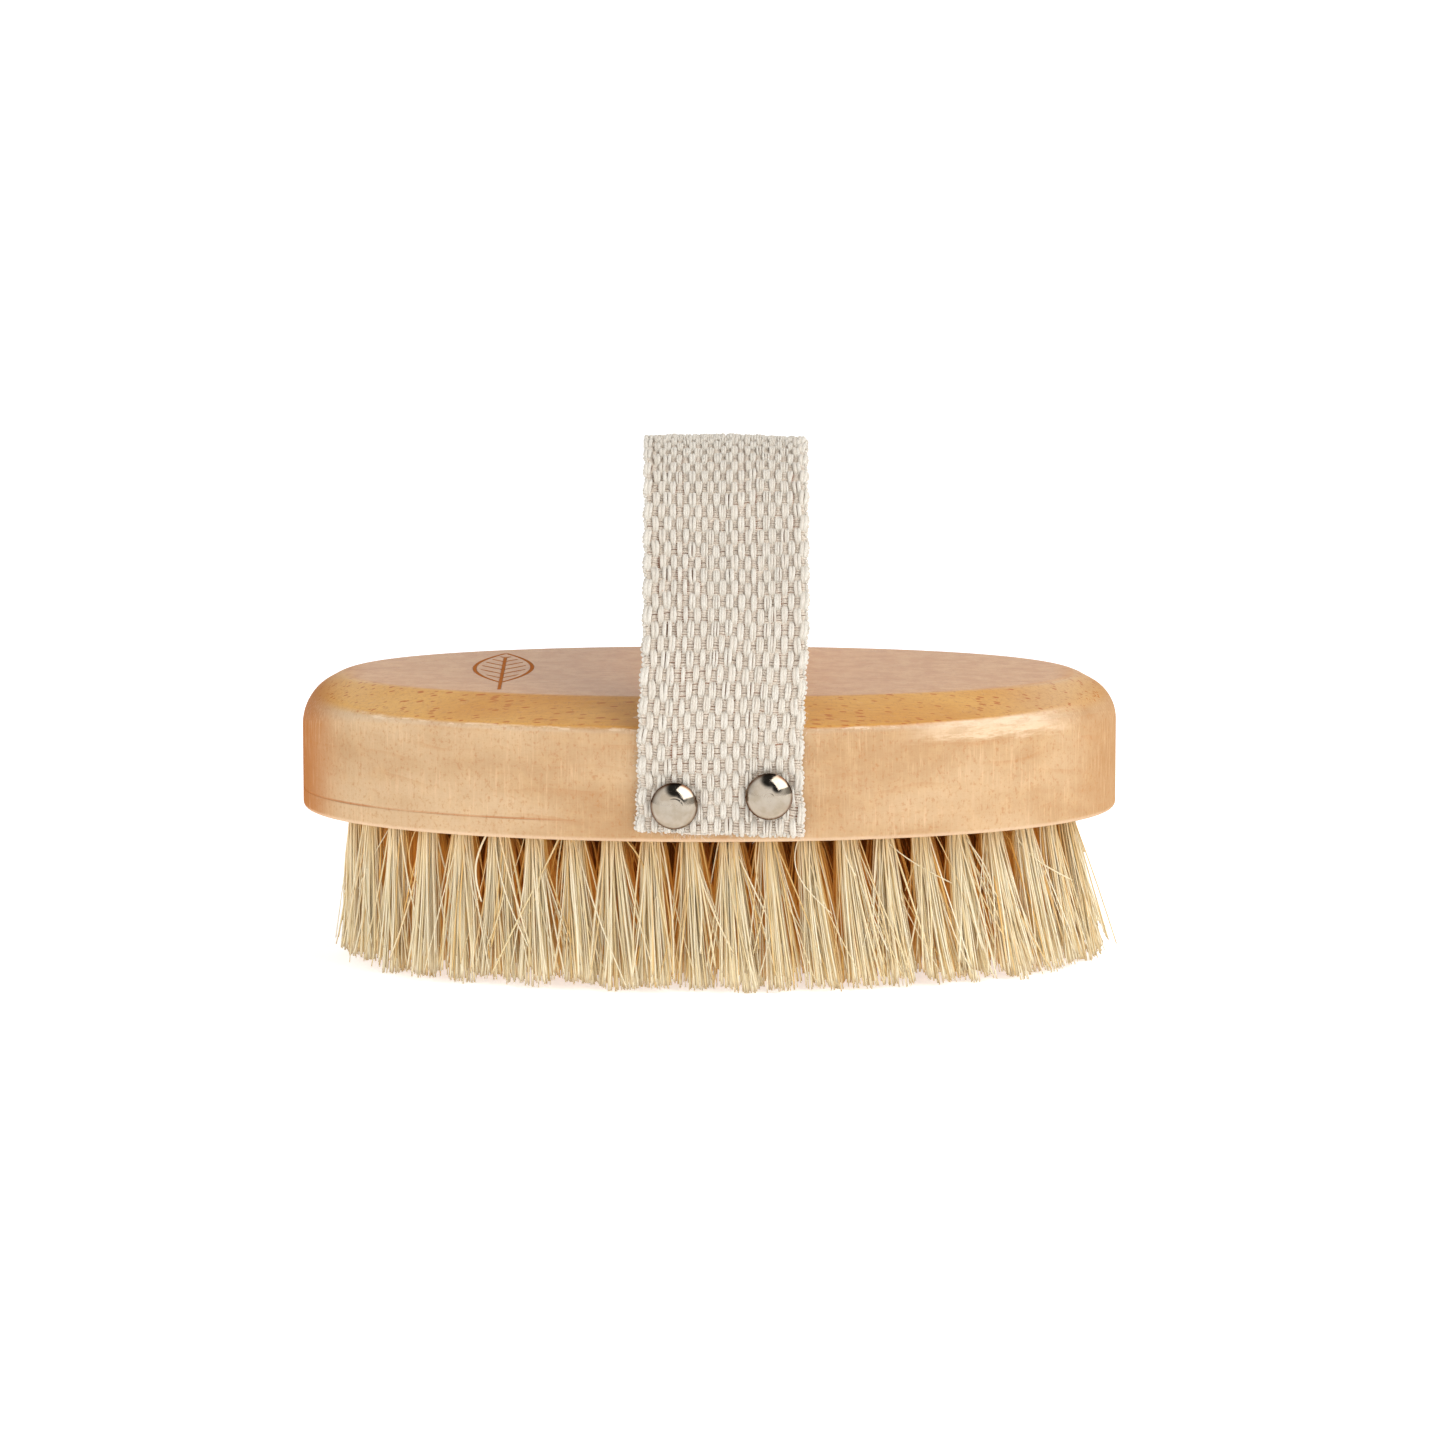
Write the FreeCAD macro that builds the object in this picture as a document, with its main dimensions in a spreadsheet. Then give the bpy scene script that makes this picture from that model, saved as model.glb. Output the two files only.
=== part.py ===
import FreeCAD, Part
import math
import os

import Sketcher
from FreeCAD import Placement, Rotation, Vector

# A body dry brush: an oval beech block filled with plant-fibre tufts, and a cotton webbing hand
# loop nailed to the block's two long sides.
# Frame, in millimetres: X along the block, Y across it with the front side at -Y, Z up.
# The origin lies under the middle of the block, in the plane of the bristle tips.

DIMENSIONS = [
    # alias, value, what it is
    ("block_length", 130.0, "long axis of the oval block"),
    ("block_width", 70.0, "short axis of the oval block"),
    ("block_height", 21.6, "thickness of the block"),
    ("bristle_length", 24.8, "free length of the tufts below the block"),
    ("bevel_run", 9.0, "how far the top bevel reaches in from the long sides"),
    ("bevel_end_run", 6.5, "how far the top bevel reaches in from the two ends"),
    ("bevel_rise", 3.7, "height of the top bevel"),
    ("bevel_round", 1.8, "radius that softens both edges of the bevel"),
    ("base_round", 0.9, "radius that softens the bottom edge"),
    ("hole_radius", 1.6, "radius of a drilled tuft hole"),
    ("hole_depth", 10.0, "depth of a drilled tuft hole"),
    ("outer_ring_length", 112.8, "long axis of the outermost ring of holes"),
    ("outer_ring_width", 53.0, "short axis of the outermost ring of holes"),
    ("ring_step", 6.3, "distance between two rings of holes"),
    ("ring_count", 4.0, "number of rings around the centre line"),
    ("tuft_pitch", 6.1, "distance between neighbouring tufts along a ring"),
    ("centre_line_length", 60.0, "length of the straight centre line of holes"),
    ("tuft_root_radius", 1.5, "radius of a tuft inside its hole"),
    ("tuft_neck_radius", 1.4, "radius of a tuft where it leaves its hole"),
    ("tuft_tip_radius", 2.6, "radius of a tuft at its tips"),
    ("tuft_spread", 0.045, "how far a tuft leans outwards, as a part of its place"),
    ("tuft_drift", 1.8, "how far all tips lean towards +X, combed over by use"),
    ("root_gap", 0.2, "air left above a folded tuft in its hole"),
    ("fold_height", 1.2, "fibre above the anchor that it is folded over"),
    ("anchor_length", 4.2, "length of the flat wire anchor across its hole"),
    ("anchor_thickness", 0.4, "thickness of the anchor wire"),
    ("anchor_height", 1.8, "height of the anchor wire"),
    ("strap_width", 26.3, "width of the webbing"),
    ("strap_thickness", 1.8, "thickness of the webbing"),
    ("strap_gap", 0.1, "air between the webbing and the widest point of the block"),
    ("strap_offset", 2.2, "how far the strap stands off the block's middle along X"),
    ("strap_foot", 26.4, "height of the strap's cut ends"),
    ("strap_bend", 43.0, "height where the strap starts to turn inwards"),
    ("shoulder_radius", 33.0, "radius of the turn above the block's side"),
    ("slope_angle", 41.0, "lean of the strap's straight slopes from upright, in degrees"),
    ("crown_radius", 26.0, "radius of the loop's crown"),
    ("nail_head_radius", 3.65, "radius of a nail's domed head"),
    ("nail_rim", 0.45, "height of the head's upright rim"),
    ("nail_dome", 1.75, "height of the dome above the rim"),
    ("nail_shank_radius", 0.8, "radius of a nail's shank"),
    ("nail_shank_length", 6.6, "length of the shank up to its point"),
    ("nail_point", 1.4, "length of the nail's point"),
    ("nail_hole_slack", 0.05, "radial air around the shank"),
    ("nail_left", -5.4, "place of the left nails along X"),
    ("nail_right", 9.3, "place of the right nails along X"),
    ("nail_left_height", 31.0, "height of the left nails"),
    ("nail_right_height", 32.5, "height of the right nails"),
]

# The brush field is split along X into zones, so that each group of tufts is one compact piece.
ZONES = ["left_end", "left_outer", "left_inner", "middle", "right_inner", "right_outer", "right_end"]
ARC_SAMPLES = 720


def make_sheet(doc):
    sheet = doc.addObject("Spreadsheet::Sheet", "Dimensions")
    for row, (alias, value, meaning) in enumerate(DIMENSIONS, start=1):
        sheet.set(f"A{row}", meaning)
        sheet.set(f"B{row}", str(value))
        sheet.setAlias(f"B{row}", alias)
    doc.recompute()
    return sheet


def origin_plane(body, role):
    for feature in body.Origin.OriginFeatures:
        if feature.Role == role:
            return feature
    raise ValueError(f"{body.Label} has no {role}")


def new_body(doc, name):
    body = doc.addObject("PartDesign::Body", name)
    body.Label = name
    body.Placement = Placement()
    return body


def new_sketch(body, name, role, offset=None):
    """A sketch on one of the body's own origin planes, moved along its normal by an expression."""
    sketch = body.newObject("Sketcher::SketchObject", name)
    sketch.AttachmentSupport = [(origin_plane(body, role), "")]
    sketch.MapMode = "FlatFace"
    if offset:
        sketch.setExpression("AttachmentOffset.Base.z", offset)
    return sketch


def bind(sketch, constraint, expression):
    """Adds a constraint and ties its value to the sheet."""
    index = sketch.addConstraint(constraint)
    sketch.setExpression(f"Constraints[{index}]", expression)


def edges_at(shape, height):
    """Names of the edges that lie wholly at one height."""
    names = []
    for number, edge in enumerate(shape.Edges, start=1):
        box = edge.BoundBox
        if abs(box.ZMin - height) < 0.01 and abs(box.ZMax - height) < 0.01:
            names.append(f"Edge{number}")
    return names


def oval_places(length, width, pitch):
    """Places at equal steps round an oval, the first one half a step from its front middle."""
    def point(turn):
        return Vector(length / 2 * math.sin(turn), -width / 2 * math.cos(turn), 0)

    turns = [2 * math.pi * i / ARC_SAMPLES for i in range(ARC_SAMPLES + 1)]
    travelled = [0.0]
    for before, after in zip(turns, turns[1:]):
        travelled.append(travelled[-1] + point(before).distanceToPoint(point(after)))
    count = 2 * round(travelled[-1] / pitch / 2)
    step = travelled[-1] / count
    places = []
    sample = 0
    for i in range(count):
        target = (i + 0.5) * step
        while travelled[sample + 1] < target:
            sample += 1
        part = (target - travelled[sample]) / (travelled[sample + 1] - travelled[sample])
        places.append(point(turns[sample] + part * (turns[sample + 1] - turns[sample])))
    return places


def tuft_rings(sheet):
    """The hole centres: concentric rings, then the straight centre line."""
    rings = []
    for ring in range(int(sheet.ring_count)):
        inset = 2 * ring * sheet.ring_step
        length = sheet.outer_ring_length - inset
        width = sheet.outer_ring_width - inset
        rings.append(oval_places(length, width, sheet.tuft_pitch))
    half = round(sheet.centre_line_length / sheet.tuft_pitch / 2)
    rings.append([Vector(i * sheet.tuft_pitch, 0, 0) for i in range(-half, half + 1)])
    return rings


def by_zone(places, sheet):
    """Sorts the hole centres into the zones by their place along X."""
    zones = {name: [] for name in ZONES}
    for place in places:
        share = place.x / sheet.outer_ring_length + 0.5
        zones[ZONES[min(int(share * len(ZONES)), len(ZONES) - 1)]].append(place)
    return zones


def add_pocket(body, sketch, name, length):
    """Cuts a sketch into the body along the sketch's own normal."""
    before = body.Shape.Volume
    pocket = body.newObject("PartDesign::Pocket", name)
    pocket.Profile = sketch
    pocket.Reversed = True
    pocket.setExpression("Length", length)
    sketch.Visibility = False
    body.Document.recompute()
    if body.Shape.Volume >= before:
        raise RuntimeError(f"{name} cut nothing")
    return pocket


def add_nail_holes(body, side, radius, depth):
    """Drills one side's two nail holes, inwards from just outside the webbing."""
    start = "Dimensions.block_width / 2 + Dimensions.strap_gap + 2 * Dimensions.strap_thickness"
    sketch = new_sketch(body, f"NailHoles{side}", "XZ_Plane", start)
    if side == "Rear":
        sketch.setExpression("AttachmentOffset.Base.z", f"-({start})")
    axis = Vector(0, 0, 1)
    sheet = body.Document.Dimensions
    for hand in ("left", "right"):
        across = getattr(sheet, f"nail_{hand}")
        height = getattr(sheet, f"nail_{hand}_height")
        circle = sketch.addGeometry(Part.Circle(Vector(across, height, 0), axis, 1.0), False)
        bind(sketch, Sketcher.Constraint("Radius", circle, 1.0), radius)
        place = Sketcher.Constraint("DistanceX", -1, 1, circle, 3, across)
        bind(sketch, place, f"Dimensions.nail_{hand}")
        place = Sketcher.Constraint("DistanceY", -1, 1, circle, 3, height)
        bind(sketch, place, f"Dimensions.nail_{hand}_height")
    body.Document.recompute()
    before = body.Shape.Volume
    pocket = body.newObject("PartDesign::Pocket", f"NailPocket{side}")
    pocket.Profile = sketch
    pocket.Reversed = side == "Rear"
    pocket.setExpression("Length", depth)
    body.Document.recompute()
    if body.Shape.Volume >= before:
        raise RuntimeError(f"the {side} nail holes cut nothing")


def oval_sketch(body, name, height, length, width):
    """An ellipse on the origin, at a height and with two axes that are all given by expressions."""
    sheet = body.Document.Dimensions
    outline = new_sketch(body, name, "XY_Plane", height)
    end = Vector(sheet.block_length / 2, 0, 0)
    side = Vector(0, sheet.block_width / 2, 0)
    oval = outline.addGeometry(Part.Ellipse(end, side, Vector(0, 0, 0)), False)
    outline.exposeInternalGeometry(oval)
    long_axis = oval + 1
    short_axis = oval + 2
    outline.addConstraint(Sketcher.Constraint("Coincident", oval, 3, -1, 1))
    outline.addConstraint(Sketcher.Constraint("Horizontal", long_axis))
    bind(outline, Sketcher.Constraint("Distance", long_axis, sheet.block_length), length)
    bind(outline, Sketcher.Constraint("Distance", short_axis, sheet.block_width), width)
    return outline


def make_block(doc, sheet, rings):
    body = new_body(doc, "wooden_block")
    base = sheet.bristle_length
    top = base + sheet.block_height
    sides = ("Dimensions.block_length", "Dimensions.block_width")
    pad = body.newObject("PartDesign::Pad", "BlockPad")
    pad.Profile = oval_sketch(body, "BlockOutline", "Dimensions.bristle_length", *sides)
    pad.setExpression("Length", "Dimensions.block_height - Dimensions.bevel_rise")
    doc.recompute()

    top_expression = "Dimensions.bristle_length + Dimensions.block_height"
    wall_top = oval_sketch(body, "BevelFoot", f"{top_expression} - Dimensions.bevel_rise", *sides)
    flat_length = "Dimensions.block_length - 2 * Dimensions.bevel_end_run"
    flat_width = "Dimensions.block_width - 2 * Dimensions.bevel_run"
    bevel = body.newObject("PartDesign::AdditiveLoft", "TopBevel")
    bevel.Profile = wall_top
    bevel.Sections = [oval_sketch(body, "FlatOutline", top_expression, flat_length, flat_width)]
    bevel.Ruled = True
    doc.recompute()

    softened = body.newObject("PartDesign::Fillet", "BevelRounds")
    bevel_edges = edges_at(bevel.Shape, top) + edges_at(bevel.Shape, top - sheet.bevel_rise)
    softened.Base = (bevel, bevel_edges)
    softened.setExpression("Radius", "Dimensions.bevel_round")
    doc.recompute()

    rounded = body.newObject("PartDesign::Fillet", "BaseRound")
    rounded.Base = (softened, edges_at(softened.Shape, base))
    rounded.setExpression("Radius", "Dimensions.base_round")
    doc.recompute()

    for number, ring in enumerate(rings, start=1):
        sketch = new_sketch(body, f"HoleRing{number}", "XY_Plane", "Dimensions.bristle_length")
        axis = Vector(0, 0, 1)
        circles = [Part.Circle(place, axis, sheet.hole_radius) for place in ring]
        first = sketch.addGeometry(circles, False)[0]
        bind(sketch, Sketcher.Constraint("Radius", first, sheet.hole_radius), "Dimensions.hole_radius")
        others = range(first + 1, first + len(circles))
        sketch.addConstraint([Sketcher.Constraint("Equal", first, other) for other in others])
        add_pocket(body, sketch, f"HolePocket{number}", "Dimensions.hole_depth")

    nail_radius = "Dimensions.nail_shank_radius + Dimensions.nail_hole_slack"
    nail_depth = "Dimensions.nail_shank_length + Dimensions.nail_point + Dimensions.strap_thickness"
    for name in ("Front", "Rear"):
        add_nail_holes(body, name, nail_radius, nail_depth)
    return body


def strap_path(body, sheet):
    """The strap's centre line, seen along X: two upright legs, turns, slopes and the crown."""
    path = new_sketch(body, "StrapPath", "YZ_Plane")
    leg = sheet.block_width / 2 + sheet.strap_gap + sheet.strap_thickness / 2
    lean = math.radians(sheet.slope_angle)
    shoulder = sheet.shoulder_radius
    crown = sheet.crown_radius
    slope = (leg - shoulder * (1 - math.cos(lean)) - crown * math.cos(lean)) / math.sin(lean)
    slope_start = Vector(
        -leg + shoulder * (1 - math.cos(lean)),
        sheet.strap_bend + shoulder * math.sin(lean),
        0,
    )
    slope_end = slope_start + Vector(slope * math.sin(lean), slope * math.cos(lean), 0)
    crown_centre = Vector(0, slope_end.y - crown * math.sin(lean), 0)
    normal = Vector(0, 0, 1)

    def arc(centre, radius, first, last):
        return Part.ArcOfCircle(Part.Circle(centre, normal, radius), first, last)

    def mirrored(point):
        return Vector(-point.x, point.y, 0)

    foot = Vector(-leg, sheet.strap_foot, 0)
    knee = Vector(-leg, sheet.strap_bend, 0)
    shoulder_centre = Vector(-leg + shoulder, sheet.strap_bend, 0)
    front_leg, front_turn, front_slope, top, rear_slope, rear_turn, rear_leg = path.addGeometry(
        [
            Part.LineSegment(foot, knee),
            arc(shoulder_centre, shoulder, math.pi - lean, math.pi),
            Part.LineSegment(slope_start, slope_end),
            arc(crown_centre, crown, lean, math.pi - lean),
            Part.LineSegment(mirrored(slope_end), mirrored(slope_start)),
            arc(mirrored(shoulder_centre), shoulder, 0, lean),
            Part.LineSegment(mirrored(knee), mirrored(foot)),
        ],
        False,
    )
    start, finish = 1, 2
    vertical_axis = -2
    path.addConstraint(
        [
            Sketcher.Constraint("Tangent", front_leg, finish, front_turn, finish),
            Sketcher.Constraint("Tangent", front_turn, start, front_slope, start),
            Sketcher.Constraint("Tangent", front_slope, finish, top, finish),
            Sketcher.Constraint("Tangent", top, start, rear_slope, start),
            Sketcher.Constraint("Tangent", rear_slope, finish, rear_turn, finish),
            Sketcher.Constraint("Tangent", rear_turn, start, rear_leg, start),
            Sketcher.Constraint("Vertical", front_leg),
            Sketcher.Constraint("Symmetric", front_leg, start, rear_leg, finish, vertical_axis),
            Sketcher.Constraint("Symmetric", front_leg, finish, rear_leg, start, vertical_axis),
            Sketcher.Constraint("Symmetric", front_slope, start, rear_slope, finish, vertical_axis),
        ]
    )
    half_depth = "Dimensions.block_width / 2 + Dimensions.strap_gap + Dimensions.strap_thickness / 2"
    bind(path, Sketcher.Constraint("DistanceX", front_leg, start, -1, 1, leg), half_depth)
    place = Sketcher.Constraint("DistanceY", -1, 1, front_leg, start, sheet.strap_foot)
    bind(path, place, "Dimensions.strap_foot")
    place = Sketcher.Constraint("DistanceY", -1, 1, front_leg, finish, sheet.strap_bend)
    bind(path, place, "Dimensions.strap_bend")
    bind(path, Sketcher.Constraint("Radius", front_turn, shoulder), "Dimensions.shoulder_radius")
    bind(path, Sketcher.Constraint("Radius", top, crown), "Dimensions.crown_radius")
    slant = Sketcher.Constraint("Angle", front_slope, math.pi / 2 - lean)
    bind(path, slant, "(90 - Dimensions.slope_angle) * 1 deg")
    return path


def make_strap(doc, sheet):
    body = new_body(doc, "webbing_strap")
    path = strap_path(body, sheet)
    section = new_sketch(body, "StrapSection", "XY_Plane", "Dimensions.strap_foot")
    inner = sheet.block_width / 2 + sheet.strap_gap
    outer = inner + sheet.strap_thickness
    left = sheet.strap_offset - sheet.strap_width / 2
    right = left + sheet.strap_width
    corners = [
        Vector(left, -outer, 0),
        Vector(right, -outer, 0),
        Vector(right, -inner, 0),
        Vector(left, -inner, 0),
    ]
    sides = [Part.LineSegment(corners[i], corners[(i + 1) % 4]) for i in range(4)]
    bottom, right_side, top, left_side = section.addGeometry(sides, False)
    joints = [(bottom, right_side), (right_side, top), (top, left_side), (left_side, bottom)]
    section.addConstraint([Sketcher.Constraint("Coincident", a, 2, b, 1) for a, b in joints])
    section.addConstraint([Sketcher.Constraint("Horizontal", side) for side in (bottom, top)])
    section.addConstraint([Sketcher.Constraint("Vertical", side) for side in (right_side, left_side)])
    width = Sketcher.Constraint("Distance", bottom, sheet.strap_width)
    bind(section, width, "Dimensions.strap_width")
    thickness = Sketcher.Constraint("Distance", right_side, sheet.strap_thickness)
    bind(section, thickness, "Dimensions.strap_thickness")
    place = Sketcher.Constraint("DistanceX", -1, 1, bottom, 2, right)
    bind(section, place, "Dimensions.strap_offset + Dimensions.strap_width / 2")
    place = Sketcher.Constraint("DistanceY", top, 1, -1, 1, inner)
    bind(section, place, "Dimensions.block_width / 2 + Dimensions.strap_gap")
    doc.recompute()

    band = body.newObject("PartDesign::AdditivePipe", "StrapBand")
    band.Profile = section
    band.Spine = (path, [f"Edge{i + 1}" for i in range(len(path.Shape.Edges))])
    doc.recompute()

    nail_radius = "Dimensions.nail_shank_radius + Dimensions.nail_hole_slack"
    for name in ("Front", "Rear"):
        add_nail_holes(body, name, nail_radius, "4 * Dimensions.strap_thickness")
    return body


def make_nail(doc, sheet, name, facing, hand):
    """A nail turned about its own Z axis, with its head's seat at the body's origin."""
    body = new_body(doc, name)
    profile = new_sketch(body, f"{name}_profile", "XZ_Plane")
    head = sheet.nail_head_radius
    shank = sheet.nail_shank_radius
    rim = sheet.nail_rim
    dome = sheet.nail_dome
    straight = -sheet.nail_shank_length
    point = straight - sheet.nail_point
    ball = (head * head + dome * dome) / (2 * dome)
    centre = Vector(0, rim + dome - ball, 0)
    rim_turn = math.asin((ball - dome) / ball)
    apex = Vector(0, rim + dome, 0)
    edge_top = Vector(head, rim, 0)
    edge_low = Vector(head, 0, 0)
    neck = Vector(shank, 0, 0)
    taper = Vector(shank, straight, 0)
    tip = Vector(0, point, 0)
    circle = Part.Circle(centre, Vector(0, 0, 1), ball)
    arc, side, seat, stem, cone, core = profile.addGeometry(
        [
            Part.ArcOfCircle(circle, rim_turn, math.pi / 2),
            Part.LineSegment(edge_top, edge_low),
            Part.LineSegment(edge_low, neck),
            Part.LineSegment(neck, taper),
            Part.LineSegment(taper, tip),
            Part.LineSegment(tip, apex),
        ],
        False,
    )
    profile.addConstraint(
        [
            Sketcher.Constraint("Coincident", arc, 1, side, 1),
            Sketcher.Constraint("Coincident", side, 2, seat, 1),
            Sketcher.Constraint("Coincident", seat, 2, stem, 1),
            Sketcher.Constraint("Coincident", stem, 2, cone, 1),
            Sketcher.Constraint("Coincident", cone, 2, core, 1),
            Sketcher.Constraint("Coincident", core, 2, arc, 2),
            Sketcher.Constraint("PointOnObject", cone, 2, -2),
            Sketcher.Constraint("PointOnObject", arc, 2, -2),
            Sketcher.Constraint("PointOnObject", arc, 3, -2),
            Sketcher.Constraint("PointOnObject", side, 2, -1),
            Sketcher.Constraint("Vertical", side),
            Sketcher.Constraint("Horizontal", seat),
            Sketcher.Constraint("Vertical", stem),
        ]
    )
    bind(profile, Sketcher.Constraint("DistanceX", -1, 1, side, 2, head), "Dimensions.nail_head_radius")
    bind(profile, Sketcher.Constraint("DistanceX", -1, 1, seat, 2, shank), "Dimensions.nail_shank_radius")
    bind(profile, Sketcher.Constraint("DistanceY", -1, 1, side, 1, rim), "Dimensions.nail_rim")
    height = Sketcher.Constraint("DistanceY", -1, 1, arc, 2, rim + dome)
    bind(profile, height, "Dimensions.nail_rim + Dimensions.nail_dome")
    length = Sketcher.Constraint("DistanceY", stem, 2, -1, 1, -straight)
    bind(profile, length, "Dimensions.nail_shank_length")
    length = Sketcher.Constraint("DistanceY", cone, 2, -1, 1, -point)
    bind(profile, length, "Dimensions.nail_shank_length + Dimensions.nail_point")

    turned = body.newObject("PartDesign::Revolution", f"{name}_turned")
    turned.Profile = profile
    turned.ReferenceAxis = (profile, ["V_Axis"])
    turned.Angle = 360
    doc.recompute()

    body.Placement = Placement(Vector(), Rotation(Vector(1, 0, 0), -90 * facing))
    seat_depth = "(Dimensions.block_width / 2 + Dimensions.strap_gap + Dimensions.strap_thickness)"
    body.setExpression("Placement.Base.x", f"Dimensions.nail_{hand}")
    body.setExpression("Placement.Base.y", f"{facing} * {seat_depth}")
    body.setExpression("Placement.Base.z", f"Dimensions.nail_{hand}_height")
    return body


def anchor_solid(place, sheet):
    """The flat wire that a tuft is folded over: it bites into the hole's wall at both ends."""
    top = sheet.bristle_length + sheet.hole_depth - sheet.root_gap - sheet.fold_height
    corner = Vector(
        place.x - sheet.anchor_length / 2,
        place.y - sheet.anchor_thickness / 2,
        top - sheet.anchor_height,
    )
    return Part.makeBox(sheet.anchor_length, sheet.anchor_thickness, sheet.anchor_height, corner)


def tuft_solid(place, sheet):
    """One tuft: upright in its hole, then a leaning cone that widens down to its cut tips."""
    mouth = sheet.bristle_length
    root_length = sheet.hole_depth - sheet.root_gap
    root = Part.makeCylinder(sheet.tuft_root_radius, root_length, Vector(place.x, place.y, mouth))

    top = Vector(place.x, place.y, mouth)
    tip = Vector(place.x, place.y, 0) * (1 + sheet.tuft_spread) + Vector(sheet.tuft_drift, 0, 0)
    lean = (tip - top).normalize()
    widening = (sheet.tuft_tip_radius - sheet.tuft_neck_radius) / mouth
    spare = 1.0
    cone = Part.makeCone(
        sheet.tuft_neck_radius - spare * widening,
        sheet.tuft_tip_radius + spare * widening,
        (tip - top).Length + 2 * spare,
        top - lean * spare,
        lean,
    )
    side = 2 * sheet.tuft_pitch
    corner = Vector((top.x + tip.x) / 2 - side, (top.y + tip.y) / 2 - side, 0)
    free_part = cone.common(Part.makeBox(2 * side, 2 * side, mouth, corner))
    return root.fuse(free_part).cut(anchor_solid(place, sheet))


def make_group(doc, name, solids):
    """Tufts and anchors follow the ovals and each tuft has its own lean, which no pattern gives."""
    group = doc.addObject("Part::Feature", name)
    group.Label = name
    group.Shape = Part.makeCompound(solids)
    group.Placement = Placement()
    return group


def check(doc, parts):
    for item in doc.Objects:
        if "Invalid" in item.State or "Error" in item.State:
            raise RuntimeError(f"{item.Label} failed: {item.State}")
    for part in parts:
        if part.Shape.isNull() or not part.Shape.isValid():
            raise RuntimeError(f"{part.Label} has no valid shape")


def main():
    doc = FreeCAD.newDocument("body_dry_brush")
    sheet = make_sheet(doc)
    rings = tuft_rings(sheet)
    parts = [make_block(doc, sheet, rings), make_strap(doc, sheet)]
    for side, facing in (("front", -1), ("rear", 1)):
        for hand in ("left", "right"):
            parts.append(make_nail(doc, sheet, f"nail_{side}_{hand}", facing, hand))
    zones = by_zone([place for ring in rings for place in ring], sheet)
    for zone, places in zones.items():
        parts.append(make_group(doc, f"tufts_{zone}", [tuft_solid(place, sheet) for place in places]))
        parts.append(make_group(doc, f"anchors_{zone}", [anchor_solid(place, sheet) for place in places]))
    doc.recompute()
    check(doc, parts)
    os.makedirs("parts", exist_ok=True)
    for part in parts:
        part.Shape.exportStep(f"parts/{part.Label}.step")
        print(part.Label, len(part.Shape.Solids), round(part.Shape.Volume, 1))


main()
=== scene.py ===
import math

import bmesh
import bpy
import numpy as np
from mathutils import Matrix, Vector


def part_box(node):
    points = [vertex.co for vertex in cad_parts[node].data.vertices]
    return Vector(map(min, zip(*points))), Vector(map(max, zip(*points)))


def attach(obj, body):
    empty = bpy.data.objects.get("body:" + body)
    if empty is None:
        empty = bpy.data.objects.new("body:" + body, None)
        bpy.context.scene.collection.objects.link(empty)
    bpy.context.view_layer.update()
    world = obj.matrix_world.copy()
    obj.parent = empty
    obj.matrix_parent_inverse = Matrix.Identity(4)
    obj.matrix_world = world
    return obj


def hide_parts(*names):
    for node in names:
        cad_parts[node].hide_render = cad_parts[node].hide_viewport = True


# Looks of the body dry brush, in metres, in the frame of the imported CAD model: X along the block,
# Y across it with the front side at -Y, Z up, and the bristle tips at height 0.

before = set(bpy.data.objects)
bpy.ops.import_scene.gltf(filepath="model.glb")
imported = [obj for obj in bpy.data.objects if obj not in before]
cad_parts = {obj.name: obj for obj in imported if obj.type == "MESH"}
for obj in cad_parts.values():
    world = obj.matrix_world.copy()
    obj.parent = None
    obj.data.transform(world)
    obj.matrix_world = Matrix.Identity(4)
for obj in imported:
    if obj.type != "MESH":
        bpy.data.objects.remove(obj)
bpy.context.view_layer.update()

MM = 0.001
ROOT = "root"
block_low, block_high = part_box("wooden_block")
strap_low, strap_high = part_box("webbing_strap")
BLOCK_BASE = block_low.z
BLOCK_TOP = block_high.z
BLOCK_HALF_LENGTH = (block_high.x - block_low.x) / 2
BLOCK_HALF_WIDTH = (block_high.y - block_low.y) / 2


# ---- mesh helpers

def mesh_object(name, points, faces, material):
    """A piece made from an array of points and a list of face arrays, riding on the brush."""
    mesh = bpy.data.meshes.new(name)
    loops = np.concatenate([np.asarray(group).ravel() for group in faces])
    sizes = np.concatenate([np.full(len(group), np.shape(group)[1]) for group in faces])
    starts = np.concatenate([[0], np.cumsum(sizes)[:-1]])
    mesh.vertices.add(len(points))
    mesh.vertices.foreach_set("co", np.asarray(points, np.float32).ravel())
    mesh.loops.add(len(loops))
    mesh.loops.foreach_set("vertex_index", loops.astype(np.int32))
    mesh.polygons.add(len(sizes))
    mesh.polygons.foreach_set("loop_start", starts.astype(np.int32))
    mesh.update(calc_edges=True)
    mesh.polygons.foreach_set("use_smooth", np.full(len(sizes), True))
    mesh.materials.append(material)
    piece = bpy.data.objects.new(name, mesh)
    bpy.context.scene.collection.objects.link(piece)
    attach(piece, ROOT)
    return piece


def tube_points(paths, radii, reference, sides, squash=1.0):
    """Rings of points round many paths at once; paths is tubes x steps x 3."""
    along = np.gradient(paths, axis=1)
    along /= np.linalg.norm(along, axis=2, keepdims=True)
    first = reference - (reference * along).sum(2, keepdims=True) * along
    first /= np.linalg.norm(first, axis=2, keepdims=True)
    second = np.cross(along, first)
    turn = 2 * np.pi * np.arange(sides) / sides
    ring = np.cos(turn)[:, None] * first[:, :, None]
    ring = ring + squash * np.sin(turn)[:, None] * second[:, :, None]
    return paths[:, :, None] + radii[:, :, None, None] * ring


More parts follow.
